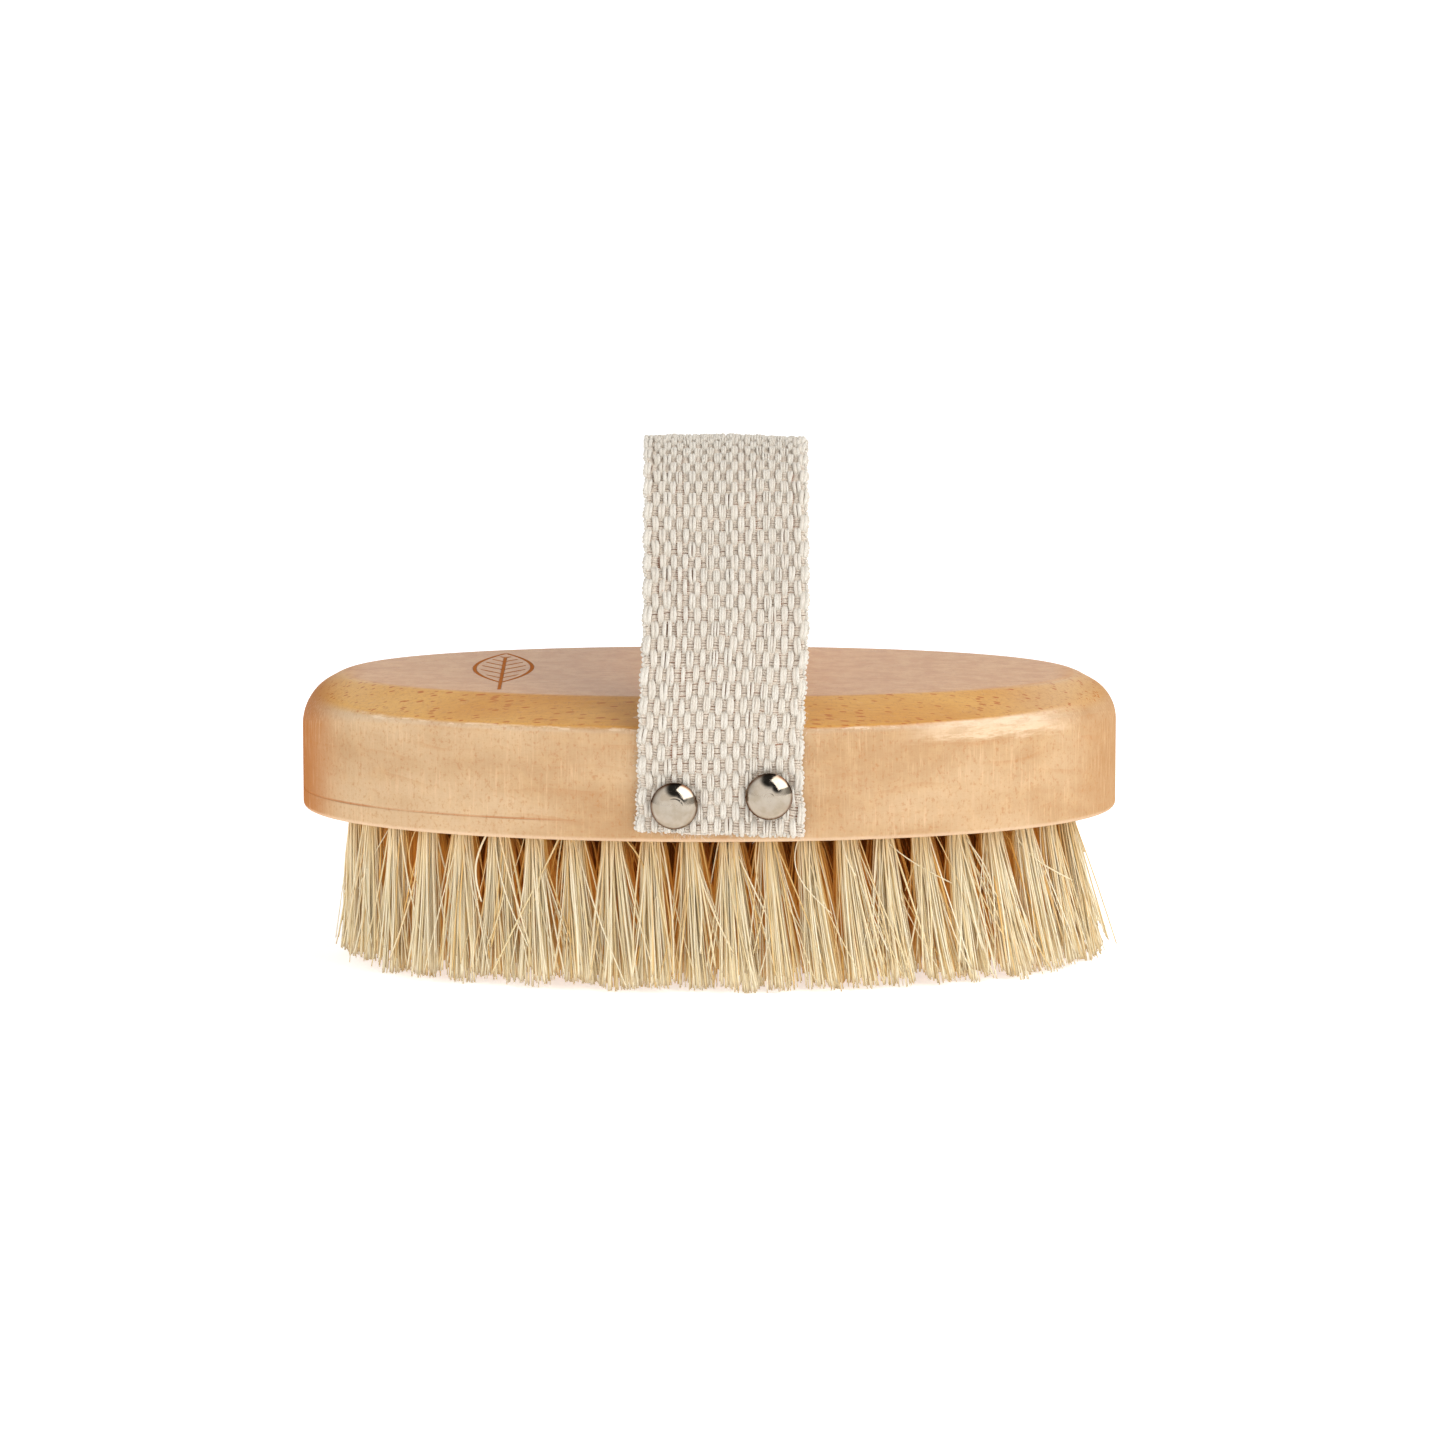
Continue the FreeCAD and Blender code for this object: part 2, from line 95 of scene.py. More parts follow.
def tube_faces(count, steps, sides):
    """Side quads and the two end caps of every tube."""
    tube = np.arange(count)[:, None, None] * steps * sides
    step = np.arange(steps - 1)[None, :, None] * sides
    side = np.arange(sides)[None, None, :]
    after = (side + 1) % sides
    start = tube + step
    quads = np.stack([start + side, start + after, start + sides + after, start + sides + side], -1)
    bottoms = tube[:, 0] + side[0, :, ::-1]
    tops = tube[:, 0] + (steps - 1) * sides + side[0]
    return [quads.reshape(-1, 4), bottoms, tops]


def tube_bake_map(piece, count, steps, sides, rows):
    """Gives every tube its own upright strip in the map that its colours are baked to."""
    columns = math.ceil(count / rows)
    tube = np.arange(count)
    left = (tube % columns) / columns
    low = (tube // columns) / rows
    side = np.arange(sides)[None, None, :]
    step = np.arange(steps - 1)[None, :, None]
    margin = 0.1

    def across(place):
        return left[:, None, None] + (margin + (1 - 2 * margin) * place / sides) / columns

    def upward(place):
        return low[:, None, None] + (margin / 3 + (1 - margin) * place / (steps - 1)) / rows

    flat = np.zeros((count, steps - 1, sides))
    corners = [(side, step), (side + 1, step), (side + 1, step + 1), (side, step + 1)]
    quads = np.stack([np.stack([across(a) + flat, upward(b) + flat], -1) for a, b in corners], 3)
    turn = 2 * np.pi * np.arange(sides) / sides
    cap_x = left[:, None] + (0.5 + 0.3 * np.cos(turn)) / columns
    cap_y = low[:, None] + (margin / 6 + 0.01 * np.sin(turn)) / rows
    cap = np.stack([cap_x, cap_y], -1)
    layer = piece.data.uv_layers.new(name="OFBake")
    values = np.concatenate([quads.reshape(-1, 2), cap[:, ::-1].reshape(-1, 2), cap.reshape(-1, 2)])
    layer.data.foreach_set("uv", values.astype(np.float32).ravel())


def point_value(piece, name, values):
    """A number on every point, for the piece's material to read."""
    attribute = piece.data.attributes.new(name, "FLOAT", "POINT")
    attribute.data.foreach_set("value", np.asarray(values, np.float32).ravel())


def tubes(name, paths, radii, reference, slot, material, sides, rows, squash=1.0, tint=None):
    """Many closed tubes as one piece, with values along and tint on their points."""
    count, steps, _ = paths.shape
    points = tube_points(paths, radii, reference, sides, squash)
    piece = mesh_object(name, points.reshape(-1, 3), tube_faces(count, steps, sides), material)
    tube_bake_map(piece, count, steps, sides, rows)
    along = np.broadcast_to(np.linspace(0, 1, steps)[None, :, None], (count, steps, sides))
    point_value(piece, "along", along)
    tint = np.zeros(count) if tint is None else tint
    point_value(piece, "tint", np.broadcast_to(tint[:, None, None], (count, steps, sides)))
    return piece


def wander(rng, count, steps, waves, size):
    """Smooth random curves, count of them: sums of sines with falling strength."""
    place = np.linspace(0, 1, steps)[None, :]
    total = np.zeros((count, steps))
    for wave in range(1, waves + 1):
        strength = rng.normal(0, size / math.sqrt(wave), (count, 1))
        total += strength * np.sin(2 * np.pi * (wave * place / 2 + rng.random((count, 1))))
    return total


def ease(low, high, value):
    """0 below low, 1 above high, and smooth in between."""
    share = np.clip((value - low) / (high - low), 0, 1)
    return share * share * (3 - 2 * share)


# ---- material helpers

class Number:
    """A number in a shader. Arithmetic on it adds math nodes."""

    def __init__(self, tree, socket):
        self.tree = tree
        self.socket = socket

    def calc(self, operation, other=0.0):
        return number(self.tree, "Math", {0: self, 1: other}, operation=operation)

    def __mul__(self, other):
        return self.calc("MULTIPLY", other)

    def __truediv__(self, other):
        return self.calc("DIVIDE", other)

    def __add__(self, other):
        return self.calc("ADD", other)

    def __sub__(self, other):
        return self.calc("SUBTRACT", other)

    def __rsub__(self, other):
        return number(self.tree, "Math", {0: other, 1: self}, operation="SUBTRACT")

    def __abs__(self):
        return self.calc("ABSOLUTE")

    def most(self, other):
        return self.calc("MAXIMUM", other)


def new_material(name, **surface_values):
    material = bpy.data.materials.new(name)
    material.use_nodes = True
    tree = material.node_tree
    surface = tree.nodes["Principled BSDF"]
    for socket, value in surface_values.items():
        surface.inputs[socket.replace("_", " ")].default_value = value
    return material, tree, surface


def plug(tree, socket, value):
    """Sets an input to a constant, to a number in the shader or to another node's output."""
    if isinstance(value, Number):
        value = value.socket
    if isinstance(value, bpy.types.NodeSocket):
        tree.links.new(value, socket)
    else:
        socket.default_value = value


def add(tree, kind, sockets, **settings):
    """Adds a shader node, sets its settings and inputs, and returns its outputs."""
    made = tree.nodes.new("ShaderNode" + kind)
    for key, value in settings.items():
        setattr(made, key, value)
    for key, value in sockets.items():
        plug(tree, made.inputs[key], value)
    return made.outputs


def number(tree, kind, sockets, output=0, **settings):
    return Number(tree, add(tree, kind, sockets, **settings)[output])


def axes_of(tree, vector):
    """The X, Y and Z of a vector, as three numbers."""
    return [Number(tree, output) for output in add(tree, "SeparateXYZ", {0: vector})]


def blend(factor, first, second):
    """Mixes two colours."""
    return add(factor.tree, "Mix", {0: factor, 6: first, 7: second}, data_type="RGBA")[2]


def ramp(factor, low, high, start=0.0, end=1.0):
    """Maps a number from low..high to start..end, smoothly and clamped."""
    sockets = {0: factor, 1: low, 2: high, 3: start, 4: end}
    return number(factor.tree, "MapRange", sockets, interpolation_type="SMOOTHSTEP")


def millimetres(tree, scale=(1, 1, 1)):
    """The place on the object in millimetres, stretched by a scale for each axis."""
    place = add(tree, "TexCoord", {})["Object"]
    return add(tree, "Mapping", {0: place, 3: [1000 * part for part in scale]})[0]


def noise(tree, scale, detail=2.0, roughness=0.5, distortion=0.0):
    """Noise over the object, with a frequency per millimetre for each axis."""
    sockets = {"Vector": millimetres(tree, scale), "Scale": 1.0, "Detail": detail}
    sockets.update({"Roughness": roughness, "Distortion": distortion})
    return number(tree, "TexNoise", sockets)


def point_number(tree, name):
    """The number that point_value has written on the points."""
    return number(tree, "Attribute", {}, "Fac", attribute_name=name)


def bump(tree, surface, height, depth):
    """Bump of a real depth in metres."""
    sockets = {"Strength": 1.0, "Distance": depth, "Height": height}
    plug(tree, surface.inputs["Normal"], add(tree, "Bump", sockets)[0])


def rgb(red, green, blue):
    """A colour given as it looks on screen, 0 to 255, turned into linear light."""
    def linear(value):
        value /= 255
        return value / 12.92 if value <= 0.04045 else ((value + 0.055) / 1.055) ** 2.4
    return (linear(red), linear(green), linear(blue), 1.0)


# ---- beech, with places in millimetres

BASE_LEVEL = BLOCK_BASE / MM
SCORE_RISE = 3.3
LEAF_MIDDLE = (-33.0, 3.0)
LEAF_HALF_LENGTH = 15.0
LEAF_HALF_WIDTH = 4.6
BUMP_DEPTH = 0.12 * MM


def beech():
    """Clear-lacquered beech: grain along X, growth rings, short dark flecks and cutter marks."""
    material, tree, surface = new_material("beech", Coat_Roughness=0.16)
    upward = axes_of(tree, add(tree, "NewGeometry", {})["Normal"])[2]
    wall = ramp(upward, 0.8, 0.45)
    flat = ramp(upward, 0.95, 0.995)
    place = axes_of(tree, millimetres(tree))

    base = beech_ground(tree, place[0], wall, flat)
    base = beech_figure(tree, base, place, wall, flat)
    cutter = noise(tree, (3.4, 3.4, 0.17), 4, 0.7)
    base = cutter_marks(tree, base, cutter, wall)
    # Painted highlight: a pale colour where the bevel meets the wall stands for a reflection in the
    # lacquer.
    base = blend(painted_edge_highlight(tree, place, upward), base, rgb(241, 215, 182))
    score = scored_line(tree, place, BASE_LEVEL + SCORE_RISE) * wall
    base = blend(score * 0.6, base, rgb(186, 104, 44))
    low_edge = ramp(place[2], BASE_LEVEL + 0.9, BASE_LEVEL + 0.3)
    base = blend(low_edge * 0.5, base, rgb(236, 206, 176))
    motif = leaf_motif(place) * flat
    base = blend(motif * 0.8, base, rgb(182, 100, 42))
    plug(tree, surface.inputs["Base Color"], base)

    gloss = beech_gloss(place[0], upward, wall, flat) * (1.0 - motif)
    plug(tree, surface.inputs["Coat Weight"], gloss)
    plug(tree, surface.inputs["Specular IOR Level"], gloss)
    plug(tree, surface.inputs["Roughness"], 0.85 - gloss)

    pores = noise(tree, (1.0, 6.0, 6.0), 3, 0.7)
    waves = noise(tree, (0.25, 0.25, 0.25)) * ramp(flat, 0.0, 1.0, 1.2, 0.2)
    nicks = flecks(tree, (0.55, 0.55, 0.3))
    dents = score * 1.2 + motif * 1.6
    height = pores * 0.2 + waves + cutter * wall * 0.4 - nicks * 0.25 - dents
    bump(tree, surface, height, BUMP_DEPTH)
    return material


def beech_ground(tree, x, wall, flat):
    """The wood's tones on wall, bevel and flat, with speckles, a paler right bevel and darker ends."""
    tone = ramp(noise(tree, (0.03, 0.06, 0.09), 3), 0.3, 0.7)
    mottle = noise(tree, (0.3, 0.3, 0.3), 4, 0.6)
    # The tones by face are partly painted shade: the bevel's deeper gold stands for the lacquer there
    # reflecting a darker part of the room.
    wall_colour = blend(tone, rgb(191, 153, 112), rgb(213, 182, 144))
    bevel_colour = blend(tone, rgb(212, 151, 70), rgb(228, 176, 97))
    bevel_colour = blend(ramp(x, 42.0, 54.0, 0.0, 0.5), bevel_colour, rgb(222, 186, 138))
    flat_colour = blend(ramp(mottle, 0.35, 0.65), rgb(211, 153, 96), rgb(222, 170, 114))
    base = blend(flat, blend(wall, bevel_colour, wall_colour), flat_colour)
    base = blend(ramp(mottle, 0.42, 0.75, 0.0, 0.3) * wall, base, rgb(224, 188, 142))
    speckle = noise(tree, (1.9, 1.9, 1.5), 3, 0.7)
    base = blend(ramp(speckle, 0.52, 0.7, 0.0, 0.5), base, rgb(184, 124, 74))
    base = blend(ramp(x, 55.0, 66.0, 0.0, 0.6), base, rgb(182, 134, 88))
    return blend(ramp(x, -56.5, -65.0, 0.0, 0.95), base, rgb(186, 118, 64))


def beech_figure(tree, base, place, wall, flat):
    """Fine grain, growth rings and dark flecks over the ground colour."""
    grain = ramp(noise(tree, (0.09, 3.6, 5.0), 4, 0.7), 0.4, 0.75)
    base = blend(grain * ramp(wall, 0.0, 1.0, 0.4, 0.12), base, rgb(176, 108, 56))
    base = blend(growth_rings(tree, place), base, rgb(184, 118, 60))
    fleck = flecks(tree, (0.42, 2.0, 2.2)) * ramp(wall, 0.0, 1.0, 0.9, 0.06)
    return blend(fleck * ramp(flat, 0.0, 1.0, 1.0, 0.25), base, rgb(184, 98, 32))


def cutter_marks(tree, base, cutter, wall):
    """Upright pale and dark marks that the cutter has left in patches of the wall."""
    patch = noise(tree, (0.09, 0.09, 0.16), 3)
    pale = ramp(cutter, 0.48, 0.75) * ramp(patch, 0.4, 0.66, 0.15, 0.65)
    base = blend(pale * wall, base, rgb(232, 198, 158))
    dark = ramp(cutter, 0.5, 0.3) * ramp(patch, 0.5, 0.3, 0.0, 0.35)
    return blend(dark * wall, base, rgb(188, 126, 74))


def beech_gloss(x, upward, wall, flat):
    """Lacquer that shines on the upper faces and is worn off the ends; along the right edge of the wall
    it is dulled under the painted highlight there.
    """
    gloss = ramp(upward, 0.0, 0.35, 0.05, 0.5) * ramp(flat, 0.0, 1.0, 1.0, 0.66)
    dull = ramp(x, 26.0, 42.0, 0.0, 0.55) * wall
    return gloss * ramp(abs(x), 63.0, 54.0, 0.1, 1.0) * (1.0 - dull)


def growth_rings(tree, place):
    """Thin year lines, curved round a heart that lies low and beside the block."""
    _, y, z = place
    side = (y + 14.0).calc("POWER", 2.0)
    deep = (z - 2.0).calc("POWER", 2.0)
    reach = (side * 0.45 + deep).calc("SQRT")
    bend = noise(tree, (0.03, 0.06, 0.06))
    line = ramp((reach * 0.3 + bend * 2.5).calc("FRACT"), 0.7, 0.98)
    fade = noise(tree, (0.05, 0.2, 0.2))
    return line * ramp(fade, 0.45, 0.7, 0.0, 0.25)


def painted_edge_highlight(tree, place, upward):
    """Painted highlight, pale and broken, where the bevel meets the wall, broad and strong toward the
    right end; it stands for a reflection in the lacquer.
    """
    x, _, z = place
    highlight_breaks = noise(tree, (0.22, 0.22, 1.4), 4, 0.75)
    narrow = ramp(upward, 0.3, 0.5) * ramp(upward, 0.8, 0.6) * ramp(abs(x), 59.0, 52.0)
    corner = (BLOCK_TOP - BEVEL_RISE) / MM
    wide = ramp(z + highlight_breaks * 3.0, corner - 1.9, corner - 0.3) * ramp(upward, 0.85, 0.65)
    wide = wide * ramp(x, 28.0, 40.0) * ramp(x, 60.0, 50.0)
    wide = wide * ramp(highlight_breaks, 0.35, 0.6, 0.35, 0.75)
    return (narrow * ramp(highlight_breaks, 0.5, 0.6, 0.0, 0.6)).most(wide)


def flecks(tree, scale):
    """Small separate dashes, one in some of the cells of a stretched cell pattern."""
    sockets = {"Vector": millimetres(tree, scale), "Scale": 1.0, "Randomness": 1.0}
    cells = add(tree, "TexVoronoi", sockets)
    chosen = number(tree, "SeparateColor", {0: cells["Color"]})
    return ramp(ramp(chosen, 0.15, 1.0, 0.0, 0.42) - cells["Distance"], 0.0, 0.12)


def scored_line(tree, place, height):
    """A fine line scored round the wall at one height, worn away in places."""
    x, _, z = place
    worn = ramp(noise(tree, (0.06, 0.06, 0.1)), 0.3, 0.5)
    return ramp(abs(z - height), 0.22, 0.05) * worn * ramp(x, -18.0, -34.0, 0.05, 1.0)


def leaf_motif(place):
    """A plain leaf, drawn as an outline, a stem and side veins, lying across the block."""
    across = abs(place[0] - LEAF_MIDDLE[0])
    along = (place[1] - LEAF_MIDDLE[1]) / LEAF_HALF_LENGTH
    square = along * along
    edge = (1.0 - square) * LEAF_HALF_WIDTH
    inside = ramp(square, 1.02, 0.98)
    outline = ramp(abs(across - edge), 0.4, 0.24) * inside
    stem = ramp(across, 0.38, 0.2) * ramp(along, -1.5, -1.45) * ramp(along, 0.75, 0.7)
    slant = (along * 3.6 - across * 0.3).calc("FRACT")
    veins = ramp(abs(slant - 0.5), 0.12, 0.06) * ramp(edge - across, 0.9, 1.1) * inside
    return outline.most(stem).most(veins)


# ---- metal, cotton and plant fibre

def nickel():
    """Polished nickel plate with faint smears, dark brown at the head's rim."""
    material, tree, surface = new_material("nickel", Metallic=1.0)
    smear = noise(tree, (0.9, 0.9, 0.9), 4, distortion=0.6)
    plug(tree, surface.inputs["Roughness"], ramp(smear, 0.4, 0.7, 0.06, 0.18))
    tone = noise(tree, (0.6, 0.6, 0.6), 3)
    colour = blend(ramp(tone, 0.35, 0.65), rgb(168, 155, 137), rgb(180, 169, 154))
    # Dark brown toward the rim of the head.
    dark_rim = ramp(point_number(tree, "reach"), 0.86, 0.99) * ramp(tone, 0.3, 0.6, 0.5, 1.0)
    plug(tree, surface.inputs["Base Color"], blend(dark_rim, colour, rgb(92, 56, 30)))
    bump(tree, surface, noise(tree, (1.0, 14.0, 14.0), 3), 0.004 * MM)
    return material


def cotton(name, light, dark):
    """Undyed cotton yarn with slubs, specks and soft sheen."""
    values = {"Roughness": 0.95, "Specular_IOR_Level": 0.2, "Sheen_Weight": 0.15, "Sheen_Roughness": 0.5}
    material, tree, surface = new_material(name, **values)
    fibres = noise(tree, (6.0, 6.0, 2.2), 4, 0.75)
    colour = blend(ramp(fibres, 0.32, 0.6), dark, light)
    yarn = ramp(point_number(tree, "tint"), 0.3, 1.0, 0.0, 0.4)
    colour = blend(yarn, colour, rgb(220, 208, 192))
    speck = ramp(noise(tree, (1.6, 1.6, 1.6), 1), 0.76, 0.82, 0.0, 0.55)
    plug(tree, surface.inputs["Base Color"], blend(speck, colour, rgb(196, 140, 104)))
    bump(tree, surface, fibres, 0.09 * MM)
    return material


def plant_fibre():
    """Pale sisal-like bristle. Painted shade makes it golden deep in the brush, warmer at the roots and
    darker at the tips, and a painted glow stands for light that seeps through real fibres.
    """
    values = {"Roughness": 0.38, "Specular_IOR_Level": 0.3, "Emission_Strength": 1.0}
    material, tree, surface = new_material("plant_fibre", **values)
    material.cycles.emission_sampling = "NONE"
    tint, along, depth = [point_number(tree, name) for name in ("tint", "along", "depth")]
    colour = blend(ramp(tint, 0.0, 0.6), rgb(236, 216, 170), rgb(251, 241, 212))
    colour = blend(ramp(tint, 0.82, 0.97), colour, rgb(232, 198, 136))
    streak = noise(tree, (4.0, 4.0, 0.25))
    colour = blend(ramp(streak, 0.4, 0.75, 0.0, 0.3), colour, rgb(222, 188, 132))
    # Painted shade: warmer and darker toward the roots, under the block.
    colour = blend(ramp(along, 0.42, 0.0, 0.0, 0.55), colour, rgb(237, 202, 140))
    # Painted shade: bristles deep in the brush and at the backs of the outer tufts turn golden, more so
    # toward the roots.
    deep = depth * ramp(along, 1.0, 0.25, 0.5, 1.0)
    colour = blend(ramp(deep, 0.0, 0.4), colour, rgb(242, 196, 118))
    colour = blend(ramp(deep, 0.35, 1.0), colour, rgb(226, 166, 84))
    # Painted shade: darker at the very tips, for the shade there.
    colour = blend(ramp(along, 0.96, 1.0, 0.0, 0.5), colour, rgb(172, 138, 92))
    green = ramp(tint, 1.4, 1.6) * ramp(along, 0.2, 0.3) * ramp(along, 0.6, 0.5)
    plug(tree, surface.inputs["Base Color"], blend(green, colour, rgb(176, 166, 30)))
    # Painted glow: the bristles emit a faint warm light of their own.
    plug(tree, surface.inputs["Emission Color"], painted_seeping_glow(tint, along, depth))
    return material


def painted_seeping_glow(tint, along, depth):
    """Painted glow, warm, between the tufts: strongest in the second ring, faint behind it and at the
    tips. It stands for light that seeps through real fibres.
    """
    dark = (0, 0, 0, 1)
    seep = blend(ramp(depth, 0.15, 0.7), dark, (0.12, 0.058, 0.009, 1))
    seep = blend(ramp(depth, 0.75, 0.95), seep, (0.012, 0.004, 0.0005, 1))
    patchy = ramp(along, 0.05, 0.38) * ramp(tint, 0.0, 1.0, 0.35, 1.5)
    return blend(patchy * ramp(along, 1.0, 0.5, 0.3, 1.0), dark, seep)


def steel_wire():
    material, tree, surface = new_material("steel_wire", Metallic=1.0)
    drawn = noise(tree, (0.5, 12.0, 12.0))
    plug(tree, surface.inputs["Roughness"], ramp(drawn, 0.3, 0.7, 0.3, 0.5))
    plug(tree, surface.inputs["Base Color"], blend(drawn, rgb(150, 150, 150), rgb(186, 184, 180)))
    return material


# ---- block

OUTLINE_STEPS = 480
OUTLINE_POWER = 2.1
BEVEL_RUN = 9.0 * MM
BEVEL_END_RUN = 6.5 * MM
BEVEL_RISE = 3.7 * MM
BEVEL_ROUND = 1.5 * MM
LEFT_END_ROUND = 8.0 * MM
RIGHT_END_ROUND = 6.5 * MM
TOP_ROUND = 2.0 * MM
TOP_END_ROUND = 6.0 * MM
BASE_ROUND = 0.9 * MM
HOLE_RADIUS = 1.6 * MM
HOLE_DEPTH = 10.0 * MM
HOLE_STEPS = 20
FLAT_SHRINK = (0.9, 0.75, 0.55, 0.3)
SHARP_ANGLE = math.radians(35)


def tuft_axes(node):
    """Centre line of every CAD tuft of a node: its middle in the hole and its middle at the tips."""
    mesh = bmesh.new()
    mesh.from_mesh(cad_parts[node].data)
    bmesh.ops.remove_doubles(mesh, verts=mesh.verts, dist=0.001 * MM)
    waiting = set(mesh.verts)
    axes = []
    while waiting:
        solid = []
        front = [waiting.pop()]
        while front:
            vertex = front.pop()
            solid.append(vertex.co.copy())
            linked = {edge.other_vert(vertex) for edge in vertex.link_edges} & waiting
            waiting -= linked
            front.extend(linked)
        points = np.array(solid)
        top = points[points[:, 2] > points[:, 2].max() - 0.01 * MM]
        tip = points[points[:, 2] < points[:, 2].min() + 0.01 * MM]
        top_middle = (top[:, :2].min(0) + top[:, :2].max(0)) / 2
        tip_middle = (tip[:, :2].min(0) + tip[:, :2].max(0)) / 2
        axes.append((top_middle, tip_middle))
    mesh.free()
    return sorted(axes, key=lambda axis: tuple(axis[0]))


def block_outline():
    """Points of the oval wall and their outward directions."""
    turn = 2 * np.pi * np.arange(OUTLINE_STEPS) / OUTLINE_STEPS
    cosine, sine = np.cos(turn), np.sin(turn)
    share = 2 / OUTLINE_POWER
    x = BLOCK_HALF_LENGTH * np.sign(cosine) * np.abs(cosine) ** share
    y = BLOCK_HALF_WIDTH * np.sign(sine) * np.abs(sine) ** share
    power = OUTLINE_POWER - 1
    out_x = np.sign(x) * np.abs(x / BLOCK_HALF_LENGTH) ** power / BLOCK_HALF_LENGTH
    out_y = np.sign(y) * np.abs(y / BLOCK_HALF_WIDTH) ** power / BLOCK_HALF_WIDTH
    out = np.stack([out_x, out_y], -1)
    out /= np.linalg.norm(out, axis=1, keepdims=True)
    return np.stack([x, y], -1), out


def block_profile(side):
    """Inset and height of the rounded section from the underside to the flat, for each outline step."""
    end = np.where(side < 0, np.abs(side) ** 10, np.abs(side) ** 5)
    end_round = np.where(side < 0, LEFT_END_ROUND, RIGHT_END_ROUND)
    low_round = (BEVEL_ROUND + (end_round - BEVEL_ROUND) * end)[:, None]
    high_round = (TOP_ROUND + (TOP_END_ROUND - TOP_ROUND) * end)[:, None]
    run = (BEVEL_RUN + (BEVEL_END_RUN - BEVEL_RUN) * side**2)[:, None]
    slope = np.arctan2(BEVEL_RISE, run)
    corner = BLOCK_TOP - BEVEL_RISE
    low_reach = low_round * np.tan((np.pi / 2 - slope) / 2)
    high_reach = high_round * np.tan(slope / 2)
    spread = np.zeros_like(run)

    turn = np.linspace(0, np.pi / 2, 6)[None, :]
    base_inset = BASE_ROUND * (1 - np.sin(turn)) + spread
    base_height = BLOCK_BASE + BASE_ROUND * (1 - np.cos(turn)) + spread
    share = np.linspace(0, 1, 9)[None, 1:]
    wall_foot = BLOCK_BASE + BASE_ROUND
    wall_height = wall_foot + (corner - low_reach - wall_foot) * share
    turn = (np.pi / 2 - slope) * np.linspace(0, 1, 12)[None, 1:]
    low_inset = low_round * (1 - np.cos(turn))
    low_height = corner - low_reach + low_round * np.sin(turn)
    turn = slope * np.linspace(0, 1, 9)[None, :]
    high_inset = run + high_reach - high_round * np.sin(slope - turn)
    high_height = BLOCK_TOP - high_round * (1 - np.cos(slope - turn))
    share = np.linspace(0, 1, 6)[None, 1:-1]
    bevel_inset = low_inset[:, -1:] + (high_inset[:, :1] - low_inset[:, -1:]) * share
    bevel_height = low_height[:, -1:] + (high_height[:, :1] - low_height[:, -1:]) * share
    inset = [base_inset, 0 * wall_height, low_inset, bevel_inset, high_inset]
    height = [base_height, wall_height, low_height, bevel_height, high_height]
    return np.concatenate(inset, 1), np.concatenate(height, 1)


def make_block(holes, material):
    """The oval block with its sanded edges and every tuft hole."""
    outline, out = block_outline()
    inset, height = block_profile(outline[:, 0] / BLOCK_HALF_LENGTH)
    flat = outline[:, None] - out[:, None] * inset[..., None]
    shrink = np.array(FLAT_SHRINK)[None, :, None]
    flat = np.concatenate([flat, flat[:, -1:] * shrink], 1)
    height = np.concatenate([height, np.full((OUTLINE_STEPS, len(FLAT_SHRINK)), BLOCK_TOP)], 1)
    shell = bmesh.new()
    rows = []
    for place, level in zip(flat.transpose(1, 0, 2), height.T):
        rows.append([shell.verts.new((*spot, z)) for spot, z in zip(place, level)])
    for row, upper in zip(rows, rows[1:]):
        for index in range(OUTLINE_STEPS):
            after = (index + 1) % OUTLINE_STEPS
            shell.faces.new((row[index], row[after], upper[after], upper[index]))
    shell.faces.new(rows[-1])
    rim = [shell.edges.get((rows[0][index - 1], rows[0][index])) for index in range(OUTLINE_STEPS)]
    turn = 2 * np.pi * np.arange(HOLE_STEPS) / HOLE_STEPS
    circle = HOLE_RADIUS * np.stack([np.cos(turn), np.sin(turn)], -1)
    for hole in holes:
        mouth = [shell.verts.new((*spot, BLOCK_BASE)) for spot in hole + circle]
        roof = [shell.verts.new((*spot, BLOCK_BASE + HOLE_DEPTH)) for spot in hole + circle]
        for index in range(HOLE_STEPS):
            shell.faces.new((mouth[index - 1], roof[index - 1], roof[index], mouth[index]))
            rim.append(shell.edges.get((mouth[index - 1], mouth[index])))
        shell.faces.new(roof)
    bmesh.ops.triangle_fill(shell, use_beauty=True, edges=rim, normal=(0, 0, -1))
    bmesh.ops.recalc_face_normals(shell, faces=shell.faces)
    mesh = bpy.data.meshes.new("block_sanded")
    shell.to_mesh(mesh)
    shell.free()
    mesh.polygons.foreach_set("use_smooth", np.full(len(mesh.polygons), True))
    mesh.set_sharp_from_angle(angle=SHARP_ANGLE)
    mesh.materials.append(material)
    piece = bpy.data.objects.new("block_sanded", mesh)
    bpy.context.scene.collection.objects.link(piece)
    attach(piece, ROOT)
    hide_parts("wooden_block")


# ---- bristles

BRISTLE_SEED = 11
BRISTLE_STEPS = 6
BRISTLE_SIDES = 4
BRISTLE_SQUASH = 0.75
STRAY_STEPS = 14
LOCKS = 9
LOOSE_SHARE = 0.4
OUTER_LOOSE_SHARE = 0.28
LONGEST_TIP_RISE = 2.6
GREEN_SHARE = 0.0005
THINNEST_RADIUS = 0.1 * MM
THICKEST_RADIUS = 0.185 * MM
BRISTLE_TAPER = 0.15
CURLED_SHARE = 0.7
HOLE_MOUTH_RADIUS = 1.42 * MM
OUTER_RING_BRISTLES = 112
INNER_BRISTLES = 96
OUTER_RING_LENGTH = 112.8 * MM
OUTER_RING_WIDTH = 53.0 * MM
RING_STEP = 6.3 * MM
RING_COUNT = 4
# How deep the bristles lie, which sets their painted shade and painted glow: the backs of the outer
# tufts, the second ring; the rings inside get 1.
OUTER_RING_DEPTH = 0.46
SECOND_RING_DEPTH = 0.7
BRISTLE_TOP = BLOCK_BASE + 1.2 * MM


